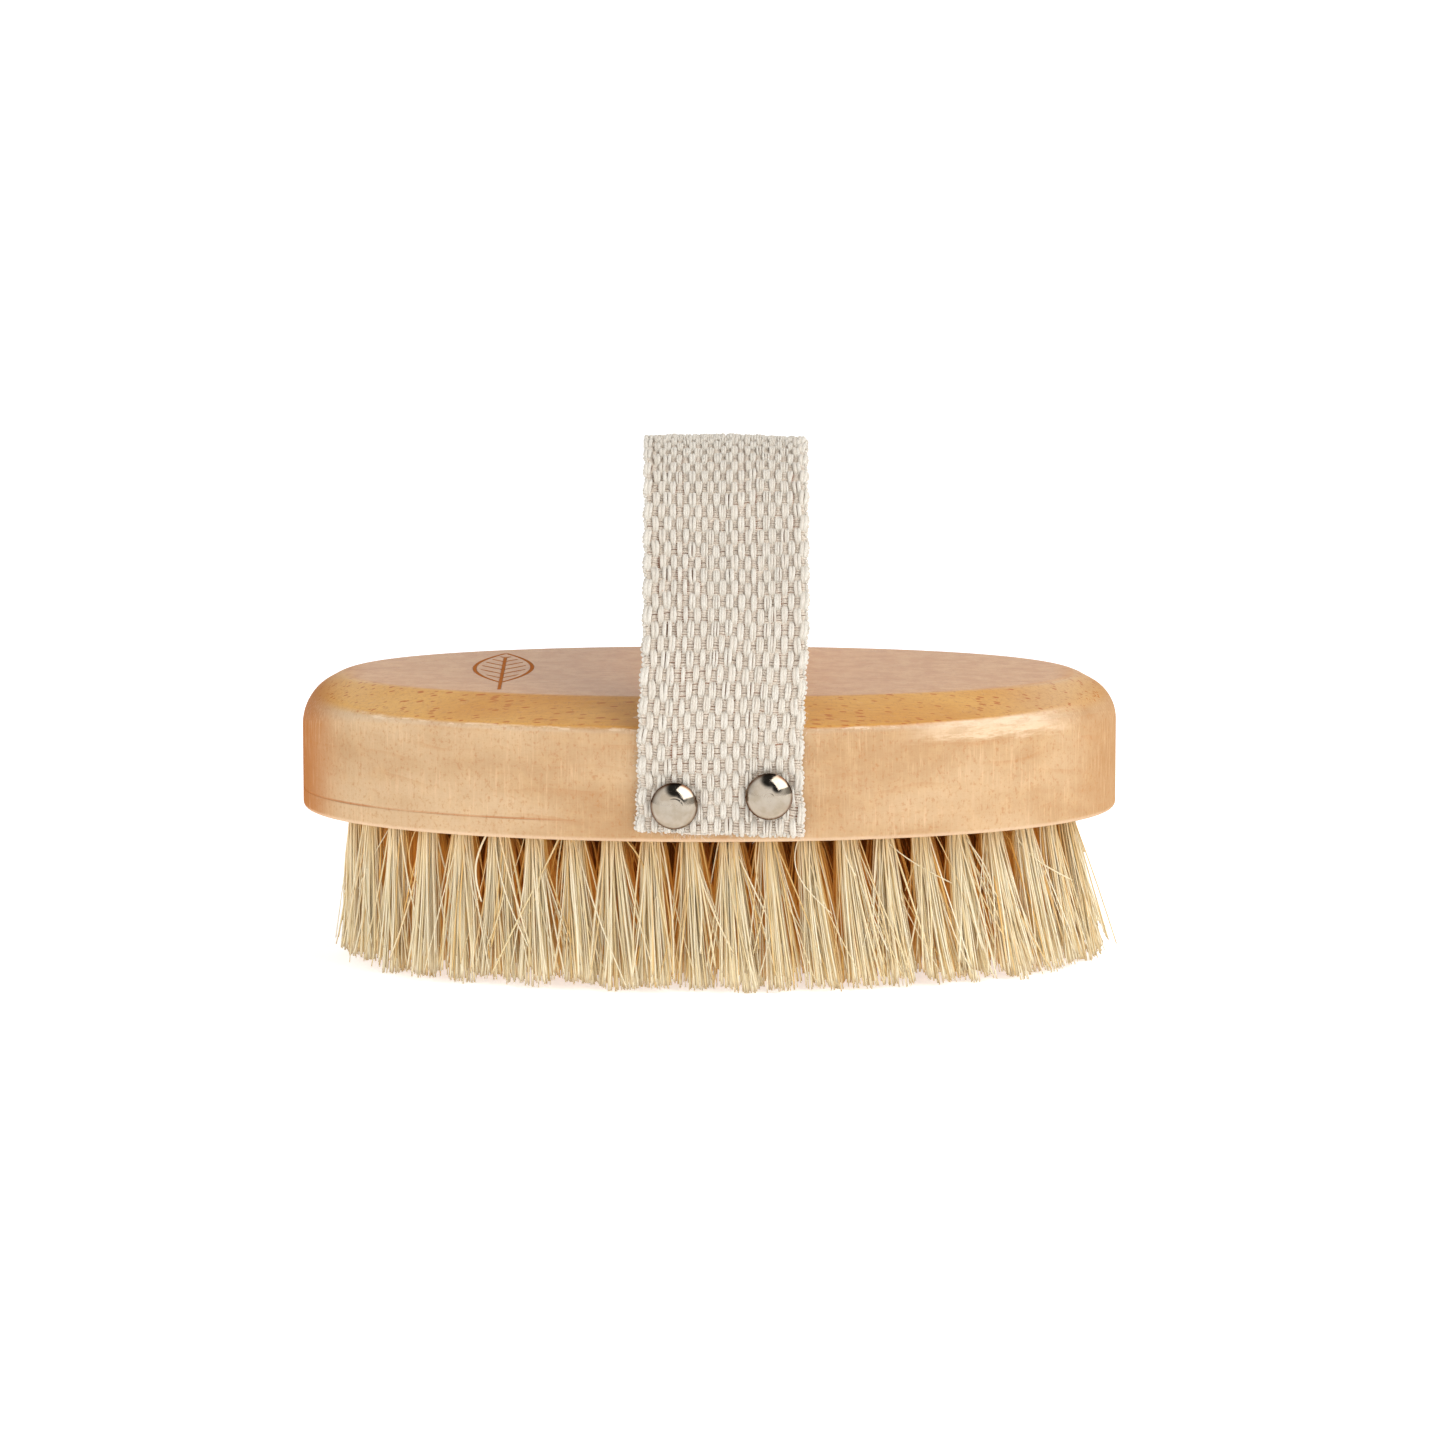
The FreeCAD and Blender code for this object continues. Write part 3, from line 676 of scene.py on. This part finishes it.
def ring_of(root):
    """The oval ring a tuft stands in: 0 at the outside, 3 in the middle."""
    def miss(ring):
        half_length = OUTER_RING_LENGTH / 2 - ring * RING_STEP
        half_width = OUTER_RING_WIDTH / 2 - ring * RING_STEP
        return abs(math.hypot(root[0] / half_length, root[1] / half_width) - 1)
    return min(range(RING_COUNT), key=miss)


def outward_from(root):
    """The direction that points out of the oval at a tuft."""
    outward = root / np.array([OUTER_RING_LENGTH / 2, OUTER_RING_WIDTH / 2]) ** 2
    return outward / np.linalg.norm(outward)


def disc_spots(rng, count):
    turn = rng.random(count) * 2 * np.pi
    reach = np.sqrt(rng.random(count))
    return np.stack([reach * np.cos(turn), reach * np.sin(turn)], -1)


def bristle_paths(rng, root, tip, count, outer):
    """The bristles of one tuft: upright and tight in the hole, then fanning out in locks."""
    disc = disc_spots(rng, count)
    lock_spot = disc_spots(rng, LOCKS)
    lock = np.argmin(((disc[:, None] - lock_spot[None]) ** 2).sum(-1), 1)
    pull = lock_spot + rng.normal(0, 0.2, lock_spot.shape)
    fan = rng.uniform(3.3, 4.0) * (1 - 0.35 * (2 * root[0] / OUTER_RING_LENGTH) ** 4) * MM
    spread = 0.62 * disc + 0.38 * pull[lock] + rng.normal(0, 0.11, (count, 2))
    loose = rng.random(count) < (OUTER_LOOSE_SHARE if outer else LOOSE_SHARE)
    wide = disc[loose] * rng.uniform(0.6, 1.5, (loose.sum(), 1))
    spread[loose] = wide + rng.normal(0, 0.6, (loose.sum(), 2))
    start = root + disc * HOLE_MOUTH_RADIUS
    end = tip + rng.normal(0, 0.4 * MM, 2) + spread * fan
    share = np.linspace(0, 1, BRISTLE_STEPS)[None, :, None]
    power = (rng.uniform(1.1, 1.4) if outer else 0.72) + rng.uniform(-0.1, 0.15, (LOCKS, 1, 1))[lock]
    power[loose] = rng.uniform(*((0.9, 1.6) if outer else (0.5, 1.1)), (loose.sum(), 1, 1))
    flat = start[:, None] + (end - start)[:, None] * share**power
    bow = rng.normal(0, 0.09 * MM, (count, 1, 2))
    bow[loose] *= 4.0
    flat = flat + bow * np.sin(np.pi * share)
    lock_height = rng.normal(0.55, 0.42, LOCKS) + rng.normal(0, 0.3)
    tip_height = lock_height[lock] + rng.normal(0.1, 0.2, count) + 0.6 * (spread**2).sum(1)
    tip_height = np.clip(tip_height, 0.02, LONGEST_TIP_RISE) * MM
    tip_height[loose] += rng.exponential(0.8, loose.sum()) * MM
    height = BRISTLE_TOP + (tip_height - BRISTLE_TOP)[:, None] * share[..., 0]
    return np.concatenate([flat, height[..., None]], -1), disc


def bristle_tubes(name, paths, material, rng):
    """Bristles as thin flattened tubes, each with its own size, tint and facing; a tint of 2 is green."""
    count, steps, _ = paths.shape
    thickness = rng.uniform(THINNEST_RADIUS, THICKEST_RADIUS, (count, 1))
    radii = thickness * (1 - BRISTLE_TAPER * np.linspace(0, 1, steps)[None, :] ** 2)
    turn = rng.random(count) * 2 * np.pi
    reference = np.stack([np.cos(turn), np.sin(turn), np.zeros(count)], -1)[:, None]
    tint = rng.random(count)
    tint[rng.random(count) < GREEN_SHARE] = 2.0
    sides = BRISTLE_SIDES
    return tubes(name, paths, radii, reference, "plant_fibre", material, sides, 6, BRISTLE_SQUASH, tint)


def make_bristles(node, material, rng):
    """All bristles of one zone."""
    paths = []
    depths = []
    for root, tip in tuft_axes(node):
        ring = ring_of(root)
        count = INNER_BRISTLES if ring else OUTER_RING_BRISTLES
        tuft, disc = bristle_paths(rng, root, tip, count, ring == 0)
        paths.append(tuft)
        # Each bristle's depth sets its painted golden shade and painted glow.
        if ring:
            depths.append(np.full(count, SECOND_RING_DEPTH if ring == 1 else 1.0))
        else:
            depths.append(OUTER_RING_DEPTH * ease(-0.5, 0.7, -disc @ outward_from(root)))
    piece = bristle_tubes(node.replace("tufts", "bristles"), np.concatenate(paths), material, rng)
    point_value(piece, "depth", np.repeat(np.concatenate(depths), BRISTLE_STEPS * BRISTLE_SIDES))
    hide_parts(node)


def make_strays(axes, material, rng):
    """Single bristles that cross the gaps, bow outwards or curl away from their tufts."""
    ends = []
    for root, tip in axes:
        if ring_of(root) > 0:
            continue
        outward = outward_from(root)
        sideways = np.array([-outward[1], outward[0]])
        reach = 0.25 if abs(root[0]) > 0.42 * OUTER_RING_LENGTH else 1.0
        for _ in range(rng.integers(6, 12)):
            swing = rng.normal(0, 3.4) * sideways + reach * rng.uniform(0.4, 2.6) * outward
            bow = rng.normal(0, 0.7) * sideways + reach * rng.uniform(0.0, 1.2) * outward
            ends.append((root, tip - root + swing * MM, bow * MM, rng.uniform(0.75, 1.0)))
        if rng.random() < CURLED_SHARE:
            swing = rng.normal(0, 5.0) * sideways + reach * rng.uniform(0.0, 2.0) * outward
            bow = rng.normal(0, 2.2) * sideways + reach * rng.uniform(0.5, 1.8) * outward
            ends.append((root, tip - root + swing * MM, bow * MM, rng.uniform(0.25, 0.7)))
    start = np.array([root for root, _, _, _ in ends])
    start = start + disc_spots(rng, len(ends)) * HOLE_MOUTH_RADIUS
    swing = np.array([swing for _, swing, _, _ in ends])[:, None]
    bow = np.array([bow for _, _, bow, _ in ends])[:, None]
    length = np.array([length for _, _, _, length in ends])[:, None]
    share = np.linspace(0, 1, STRAY_STEPS)[None, :, None]
    flat = start[:, None] + swing * share**1.2 + bow * np.sin(np.pi * share)
    fall = BRISTLE_TOP - 0.3 * MM
    height = BRISTLE_TOP - fall * length * share[..., 0]
    paths = np.concatenate([flat, height[..., None]], -1)
    piece = bristle_tubes("bristles_strays", paths, material, rng)
    point_value(piece, "depth", np.zeros(len(paths) * STRAY_STEPS * BRISTLE_SIDES))


# ---- webbing strap

WEAVE_SEED = 5
STRAP_WIDTH = strap_high.x - strap_low.x
STRAP_THICKNESS = 1.8 * MM
SHOULDER_RADIUS = 33.0 * MM
SLOPE_ANGLE = math.radians(41.0)
CROWN_RADIUS = 26.0 * MM
STRAP_BEND = 43.0 * MM
LEG_PLACE = (strap_high.y - strap_low.y) / 2 - STRAP_THICKNESS / 2
LEG_LENGTH = STRAP_BEND - strap_low.z
SHOULDER_RUN = SHOULDER_RADIUS * (1 - math.cos(SLOPE_ANGLE))
CROWN_RUN = CROWN_RADIUS * math.cos(SLOPE_ANGLE)
SLOPE_RUN = LEG_PLACE - SHOULDER_RUN - CROWN_RUN
SLOPE_LENGTH = SLOPE_RUN / math.sin(SLOPE_ANGLE)
STRAP_LEAN = 0.45 * MM
FOOT_SLANT = 0.5 * MM
NAIL_SPOTS = [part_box(node) for node in ("nail_front_left", "nail_front_right")]
COLUMNS = 26
WEAVE_WIDTH = STRAP_WIDTH - 1.2 * MM
COLUMN_PITCH = WEAVE_WIDTH / COLUMNS
ROW_PITCH = 2.37 * MM
PICKS_PER_ROW = 6
PICK_RADIUS = 0.21 * MM
PICK_DEPTH = 0.13 * MM
PAIR_GAP = 0.25
PAIR_RADIUS = 0.29
TRIPLE_GAP = 0.34
TRIPLE_RADIUS = 0.205
THIN_COLUMNS = (5, 17)
FOOT_HEIGHTS = (27 * MM, 35 * MM)
LEAN_HEIGHTS = (38 * MM, 62 * MM)
HUG_HEIGHTS = (42 * MM, 54 * MM)
CROWN_HEIGHTS = (70 * MM, 82 * MM)
FUZZ_HAIRS = 1400
FUZZ_STEPS = 5
FUZZ_RADIUS = 0.02 * MM


def strap_line():
    """The strap's centre line from the front foot over the crown: place along, Y, Z, heading."""
    half_crown = math.pi / 2 - SLOPE_ANGLE
    spans = [
        (LEG_LENGTH, 0.0),
        (SHOULDER_RADIUS * SLOPE_ANGLE, SLOPE_ANGLE),
        (SLOPE_LENGTH, 0.0),
        (CROWN_RADIUS * half_crown, half_crown),
    ]
    spans += spans[::-1]
    lengths = np.array([length for length, _ in spans])
    turns = np.array([turn for _, turn in spans])
    marks = np.concatenate([[0], np.cumsum(lengths)])
    headings = np.concatenate([[0], np.cumsum(turns)])
    place = np.linspace(0, marks[-1], 3001)
    heading = np.interp(place, marks, headings)
    step = place[1] - place[0]
    middle = (heading[1:] + heading[:-1]) / 2
    across = -LEG_PLACE + np.concatenate([[0], np.cumsum(np.sin(middle))]) * step
    height = strap_low.z + np.concatenate([[0], np.cumsum(np.cos(middle))]) * step
    return place, across, height, heading


LINE = strap_line()
STRAP_LENGTH = LINE[0][-1]


def nail_press(x, z):
    """How far the webbing is pressed in around the nail heads, and swells beyond them."""
    total = 0 * x
    for low, high in NAIL_SPOTS:
        away = np.hypot(x - (low.x + high.x) / 2, z - (low.z + high.z) / 2) / MM
        total = total + 0.5 * np.exp(-((away / 3.9) ** 4)) - 0.12 * np.exp(-(((away - 5.6) / 1.5) ** 2))
    return total * MM


def on_strap(along, across, outward):
    """Points of the strap: along its length, across its width and out from its middle."""
    y = np.interp(along, LINE[0], LINE[1])
    z = np.interp(along, LINE[0], LINE[2])
    heading = np.interp(along, LINE[0], LINE[3])
    z = z + np.minimum(along, 0) - np.maximum(along - STRAP_LENGTH, 0)
    low = 1 - ease(*FOOT_HEIGHTS, z)
    z = z - low * FOOT_SLANT * 2 * across / STRAP_WIDTH
    x = (strap_low.x + strap_high.x) / 2 + across + STRAP_LEAN * (2 * ease(*LEAN_HEIGHTS, z) - 1)
    x = x + low * 0.35 * MM * np.sign(across) * ease(0.3, 0.5, np.abs(across) / STRAP_WIDTH)
    hug = 1 - ease(*HUG_HEIGHTS, z)
    fall = BLOCK_HALF_WIDTH * (1 - np.sqrt(1 - (x / BLOCK_HALF_LENGTH) ** 2))
    crown = ease(*CROWN_HEIGHTS, z) * 0.3 * MM * (1 - (2 * across / STRAP_WIDTH) ** 2)
    ripple = 0.16 * MM * np.sin(along / (9 * MM) + across / (7 * MM)) * (1 - hug)
    out = outward - hug * (fall + 0.1 * MM) + crown + ripple - hug * nail_press(x, z)
    return np.stack([x, y - np.cos(heading) * out, z + np.sin(heading) * out], -1)


def outward_direction(along):
    heading = np.interp(along, LINE[0], LINE[3])
    return np.stack([0 * heading, -np.cos(heading), np.sin(heading)], -1)


def row_shift(along, across):
    """Small waves that bend the rows of the weave out of line."""
    first = np.sin(across / (2.9 * MM) + along / (11 * MM))
    second = np.sin(across / (1.3 * MM) - along / (6.1 * MM) + 1.0)
    return (0.18 * first + 0.12 * second) * MM


def crimp(phase):
    """A yarn's rise and fall through the weave: a cosine with flattened tops."""
    return np.tanh(1.35 * np.cos(phase)) / math.tanh(1.35)


def scallop(along, across):
    """The selvedges bulge with each turn of the weft."""
    edge = ease(0.34, 0.47, np.abs(across) / STRAP_WIDTH) * np.sign(across)
    return across + edge * 0.16 * MM * np.cos(np.pi * along / ROW_PITCH + np.sign(across))


def warp_yarns(name, columns, material, rng):
    """Two or three yarns side by side in each column, floating over and under the weft in turn."""
    steps = int(STRAP_LENGTH / ROW_PITCH * 7)
    paths = []
    radii = []
    reference = []
    for column in columns:
        bulge = wander(rng, 1, steps, 60, 0.12)[0]
        drift = wander(rng, 1, steps, 26, 0.05)[0]
        shift = wander(rng, 1, steps, 24, 0.16)[0]
        hands = (-1, 1) if rng.random() < 0.7 else (-1, 0, 1)
        fullness = rng.uniform(0.9, 1.08) * (0.84 if column in THIN_COLUMNS else 1.0)
        if column in (0, COLUMNS - 1):
            fullness = 1.15
        for hand in hands:
            first = rng.uniform(-0.3, 0.1)
            last = STRAP_LENGTH / MM + rng.uniform(-0.1, 0.3)
            along = np.linspace(first, last, steps) * MM
            centre = (column - (COLUMNS - 1) / 2) * COLUMN_PITCH
            row = (along - row_shift(along, centre)) / ROW_PITCH
            rise = crimp(np.pi * (row - 0.5 + column) + shift)
            swell = 0.82 + 0.22 * rise + bulge
            if len(hands) == 2:
                gap, radius = PAIR_GAP, PAIR_RADIUS
            else:
                gap, radius = TRIPLE_GAP, TRIPLE_RADIUS
            side = centre + (hand * gap * swell * fullness + drift) * MM
            side = side + wander(rng, 1, steps, 30, 0.02)[0] * MM
            out = (0.08 + 0.5 * rise + (0.07 if hand == 0 else 0.0) * rise) * MM
            out = out + wander(rng, 1, steps, 40, 0.03)[0] * MM
            paths.append(on_strap(along, scallop(along, side), out))
            radii.append(radius * MM * fullness * (1 + 0.1 * rise + wander(rng, 1, steps, 50, 0.05)[0]))
            reference.append(outward_direction(along))
    tint = rng.random(len(paths))
    arrays = (np.array(paths), np.array(radii), np.array(reference))
    return tubes(name, *arrays, "webbing", material, 6, 1, tint=tint)


def weft_yarns(material, edge_material, rng):
    """Fine picks lying side by side, and the loops that carry them round the selvedges."""
    picks = (np.arange(int(STRAP_LENGTH / ROW_PITCH * PICKS_PER_ROW)) + 0.5) * ROW_PITCH / PICKS_PER_ROW
    steps = COLUMNS * 3 + 1
    half = WEAVE_WIDTH / 2
    across = np.linspace(-half, half, steps)[None, :] + np.zeros((len(picks), 1))
    along = picks[:, None] + wander(rng, len(picks), steps, 9, 0.03) * MM
    along = along + row_shift(picks[:, None], across)
    column = across / COLUMN_PITCH + (COLUMNS - 1) / 2
    row = picks[:, None] / ROW_PITCH
    rise = -crimp(np.pi * (row - 0.5)) * crimp(np.pi * column)
    out = 0.2 * MM * rise - PICK_DEPTH
    paths = on_strap(along, scallop(along, across), out)
    radii = PICK_RADIUS * (1 + wander(rng, len(picks), steps, 14, 0.06))
    tint = rng.random(len(picks))
    facing_out = outward_direction(along)
    weft = tubes("webbing_weft", paths, radii, facing_out, "webbing", material, 5, 3, tint=tint)
    turns = []
    marks = []
    sweep = np.linspace(0, np.pi, 7)
    for number in range(len(picks) - 1):
        side = 1 if number % 2 else -1
        centre = (picks[number] + picks[number + 1]) / 2
        half_gap = (picks[number + 1] - picks[number]) / 2
        place = centre - half_gap * np.cos(sweep)
        edge = side * (half + (0.3 * np.sin(sweep) - 0.1) * MM)
        turns.append(on_strap(place, scallop(place, edge), 0.15 * MM * np.sin(number * 2.0 + sweep)))
        marks.append(outward_direction(place))
    loop_radii = np.full((len(turns), len(sweep)), 1.15 * PICK_RADIUS)
    tint = rng.random(len(turns))
    arrays = (np.array(turns), loop_radii, np.array(marks))
    loops = tubes("webbing_selvedge", *arrays, "webbing", edge_material, 6, 2, tint=tint)
    return weft, loops


def strap_core(material):
    """The closed sheet inside the weave, which the yarns lie over on both sides."""
    along = np.linspace(0.2 * MM, STRAP_LENGTH - 0.2 * MM, 260)
    across = np.linspace(-0.5, 0.5, 27) * WEAVE_WIDTH
    grid_along, grid_across = np.meshgrid(along, across, indexing="ij")
    sides = [on_strap(grid_along, grid_across, out - PICK_DEPTH) for out in (0.1 * MM, -0.1 * MM)]
    points = np.concatenate([side.reshape(-1, 3) for side in sides])
    rows, width = grid_along.shape
    index = np.arange(rows * width).reshape(rows, width)
    back = index + rows * width
    top = np.stack([index[:-1, :-1], index[1:, :-1], index[1:, 1:], index[:-1, 1:]], -1).reshape(-1, 4)
    below = np.stack([back[:-1, :-1], back[:-1, 1:], back[1:, 1:], back[1:, :-1]], -1).reshape(-1, 4)
    rim = np.concatenate([index[0, :], index[1:, -1], index[-1, -2::-1], index[-2:0:-1, 0]])
    after = np.roll(rim, -1)
    offset = rows * width
    edge = np.stack([rim, after, after + offset, rim + offset], -1)
    return mesh_object("webbing_core", points, [top, below, edge], material)


def strap_fuzz(material, rng):
    """Loose cotton hairs on the faces, thicker at the selvedges and the cut ends."""
    count = FUZZ_HAIRS
    along = rng.random(count) * STRAP_LENGTH
    ends = rng.random(count) < 0.25
    along[ends] = np.where(rng.random(ends.sum()) < 0.5, 0.1 * MM, STRAP_LENGTH - 0.1 * MM)
    across = rng.uniform(-0.5, 0.5, count) * WEAVE_WIDTH
    edge = (rng.random(count) < 0.4) & ~ends
    across[edge] = np.sign(across[edge]) * (WEAVE_WIDTH / 2 + 0.2 * MM)
    out = np.where(rng.random(count) < 0.6, 1, -1) * 0.55 * MM
    length = rng.uniform(0.25, 0.8, count) * MM
    share = np.linspace(0, 1, FUZZ_STEPS)[None, :]
    way = rng.normal(0, 0.5, (3, count, 1))
    way[1][edge] += 0.6 * np.sign(across[edge])[:, None]
    way[0][ends] += np.where(along[ends] < STRAP_LENGTH / 2, -0.7, 0.7)[:, None]
    way[2] += np.sign(out)[:, None] * 0.3
    curl = rng.normal(0, 0.5, (3, count, 1))
    places = [
        start[:, None] + length[:, None] * (way[axis] * share + curl[axis] * share**2)
        for axis, start in enumerate((along, across, out))
    ]
    paths = on_strap(*places)
    radii = np.full((count, FUZZ_STEPS), FUZZ_RADIUS)
    reference = rng.normal(0, 1, (count, 1, 3))
    return tubes("webbing_fuzz", paths, radii, reference, "webbing", material, 3, 12)


def make_strap():
    rng = np.random.default_rng(WEAVE_SEED)
    yarn = cotton("cotton_warp", rgb(235, 229, 218), rgb(209, 199, 184))
    weft_yarn = cotton("cotton_weft", rgb(242, 232, 218), rgb(220, 201, 183))
    # Painted shade: the core inside the weave is dark brown, so the gaps between the yarns look shadowed.
    painted_shade = cotton("core_painted_shade", rgb(176, 134, 110), rgb(136, 92, 72))
    core = strap_core(painted_shade)
    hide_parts("webbing_strap")
    left = warp_yarns("webbing_warp_left", range(COLUMNS // 2), yarn, rng)
    right = warp_yarns("webbing_warp_right", range(COLUMNS // 2, COLUMNS), yarn, rng)
    weft, loops = weft_yarns(weft_yarn, yarn, rng)
    fuzz = strap_fuzz(yarn, rng)


# ---- nails

HEAD_RADIUS = 3.65 * MM
HEAD_RIM = 0.45 * MM
HEAD_DOME = 1.75 * MM
SHANK_RADIUS = 0.8 * MM
POINT_LENGTH = 1.4 * MM
GROOVE_DEPTH = 0.03 * MM
GROOVE_WIDTH = 0.1 * MM
CROWN_PRESS = 0.05 * MM
NAIL_SEGMENTS = 96


def nail_profile(shank_length, crown):
    """The turned outline from the crown to the point, as radius and height above the seat."""
    ball = (HEAD_RADIUS**2 + HEAD_DOME**2) / (2 * HEAD_DOME)
    radius = HEAD_RADIUS * np.sin(np.linspace(0, np.pi / 2, 90))
    height = HEAD_RIM + HEAD_DOME - ball + np.sqrt(ball**2 - radius**2)
    crown_height = HEAD_RIM + HEAD_DOME - ball + math.sqrt(ball**2 - crown**2)
    press = CROWN_PRESS * (1 - ease(0, crown, radius))
    height = np.where(radius < crown, np.maximum(height - press, crown_height), height)
    for ring in (0.45 * crown, crown):
        height = height - GROOVE_DEPTH * np.exp(-(((radius - ring) / GROOVE_WIDTH) ** 2))
    outline = list(zip(radius, height))
    outline += [
        (HEAD_RADIUS + 0.02 * MM, HEAD_RIM * 0.6),
        (HEAD_RADIUS, HEAD_RIM * 0.2),
        (HEAD_RADIUS - 0.12 * MM, 0.0),
        (SHANK_RADIUS, 0.0),
        (SHANK_RADIUS, -shank_length + POINT_LENGTH),
        (0.0, -shank_length),
    ]
    return np.array(outline)


def make_nail(node, material):
    low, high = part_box(node)
    outward = -1 if high.y < 0 else 1
    head = HEAD_RIM + HEAD_DOME
    seat = (low.y if outward < 0 else high.y) - outward * head
    crown = 1.5 * MM if "left" in node else 0.9 * MM
    profile = nail_profile(high.y - low.y - head, crown)
    turn = np.linspace(0, 2 * np.pi, NAIL_SEGMENTS, endpoint=False)
    radius, height = profile[1:-1, 0], profile[1:-1, 1]
    middle = (low + high) / 2
    x = middle.x + radius[:, None] * np.cos(turn)
    z = middle.z - outward * radius[:, None] * np.sin(turn)
    y = seat + outward * height[:, None] + 0 * turn
    rings = np.stack([x, y, z], -1).reshape(-1, 3)
    ends = np.array([middle, middle])
    ends[:, 1] = seat + outward * profile[[0, -1], 1]
    points = np.concatenate([rings, ends])
    step = np.arange(len(radius) - 1)[:, None] * NAIL_SEGMENTS
    place = np.arange(NAIL_SEGMENTS)[None, :]
    after = (place + 1) % NAIL_SEGMENTS
    next_step = step + NAIL_SEGMENTS
    quads = np.stack([step + place, next_step + place, next_step + after, step + after], -1)
    top = np.stack([np.full(NAIL_SEGMENTS, len(rings)), place[0], after[0]], -1)
    last = (len(radius) - 1) * NAIL_SEGMENTS
    tip = np.stack([np.full(NAIL_SEGMENTS, len(rings) + 1), last + after[0], last + place[0]], -1)
    faces = [quads.reshape(-1, 4), top, tip]
    piece = mesh_object(f"{node}_polished", points, faces, material)
    reach = np.concatenate([np.repeat(np.minimum(radius / HEAD_RADIUS, 1), NAIL_SEGMENTS), [0, 0]])
    point_value(piece, "reach", reach)
    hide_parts(node)


# ---- stage, lights, camera

FLOOR_REACH = 8.0
FLOOR_LEVEL = -0.05 * MM
CAMERA_DISTANCE = 1.1
CAMERA_ELEVATION = math.radians(9.35)
CAMERA_TARGET = Vector((2.1, 0.0, 38.0)) * MM
CAMERA_LENS = 171.3


def grey(level):
    return (level, level, level, 1)


def make_stage():
    """A white floor that glows a little, so that the shadows on it stay pale."""
    mesh = bpy.data.meshes.new("floor")
    corners = [(-1, -1), (1, -1), (1, 1), (-1, 1)]
    points = [(FLOOR_REACH * x, FLOOR_REACH * y, FLOOR_LEVEL) for x, y in corners]
    mesh.from_pydata(points, [], [(0, 1, 2, 3)])
    floor = bpy.data.objects.new("floor", mesh)
    bpy.context.scene.collection.objects.link(floor)
    material, tree, surface = new_material("floor", Roughness=0.9, Emission_Strength=1.0)
    surface.inputs["Base Color"].default_value = grey(0.9)
    spot = add(tree, "TexCoord", {})["Object"]
    away = number(tree, "VectorMath", {0: spot}, "Value", operation="LENGTH")
    behind = ramp(axes_of(tree, spot)[1], -0.5, 0.2)
    glow = blend(ramp(away, 0.1, 1.4) * behind, grey(0.58), grey(0.85))
    tree.links.new(glow, surface.inputs["Emission Color"])
    mesh.materials.append(material)


def key_light(place, target, size, power):
    data = bpy.data.lights.new("key_right", "AREA")
    data.shape = "SQUARE"
    data.size = size
    data.energy = power
    light = bpy.data.objects.new("key_right", data)
    light.location = place
    light.rotation_euler = (Vector(target) - Vector(place)).to_track_quat("-Z", "Y").to_euler()
    bpy.context.scene.collection.objects.link(light)


def facing(tree, direction, way, inner, outer):
    """One around a direction, falling to zero between two angles in degrees."""
    sockets = {0: direction, 1: Vector(way).normalized()}
    closeness = number(tree, "VectorMath", sockets, "Value", operation="DOT_PRODUCT")
    low, high = math.cos(math.radians(outer)), math.cos(math.radians(inner))
    return ramp(closeness, low, high)


def make_lights():
    """A large soft key box at the upper right in a bright room, dark overhead and beside the box."""
    key_light((1.0, -0.53, 1.17), (0, 0, 0.04), 1.4, 20.0)
    world = bpy.data.worlds.new("studio")
    bpy.context.scene.world = world
    world.use_nodes = True
    tree = world.node_tree
    direction = add(tree, "TexCoord", {})["Generated"]
    front = facing(tree, direction, (-0.2, -1.0, 0.25), 25, 95)
    back = facing(tree, direction, (0.0, 1.0, 0.1), 15, 50)
    room = blend(front, grey(0.42), grey(1.39))
    room = blend(back, room, grey(0.85))
    overhead = facing(tree, direction, (0.1, -0.42, 0.9), 24, 42)
    beside_key = facing(tree, direction, (0.5, -0.68, 0.5), 14, 27)
    room = blend(overhead.most(beside_key), room, grey(0.04))
    tree.links.new(room, tree.nodes["Background"].inputs["Color"])


def make_camera():
    data = bpy.data.cameras.new("camera")
    camera = bpy.data.objects.new("camera", data)
    bpy.context.scene.collection.objects.link(camera)
    back = Vector((0, -math.cos(CAMERA_ELEVATION), math.sin(CAMERA_ELEVATION)))
    camera.location = CAMERA_TARGET + back * CAMERA_DISTANCE
    camera.rotation_euler = (-back).to_track_quat("-Z", "Y").to_euler()
    data.lens = CAMERA_LENS
    bpy.context.scene.camera = camera


# ---- assembly

def main():
    wire = steel_wire()
    fibre = plant_fibre()
    rng = np.random.default_rng(BRISTLE_SEED)
    axes = []
    for node, piece in sorted(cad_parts.items()):
        if node.startswith("anchors"):
            piece.data.materials.clear()
            piece.data.materials.append(wire)
        if node.startswith("tufts"):
            make_bristles(node, fibre, rng)
            axes += tuft_axes(node)
    make_strays(axes, fibre, rng)
    make_block([root for root, _ in axes], beech())
    make_strap()
    metal = nickel()
    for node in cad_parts:
        if node.startswith("nail"):
            make_nail(node, metal)
    make_stage()
    make_lights()
    make_camera()
    bpy.context.scene.view_settings.view_transform = "Standard"


main()
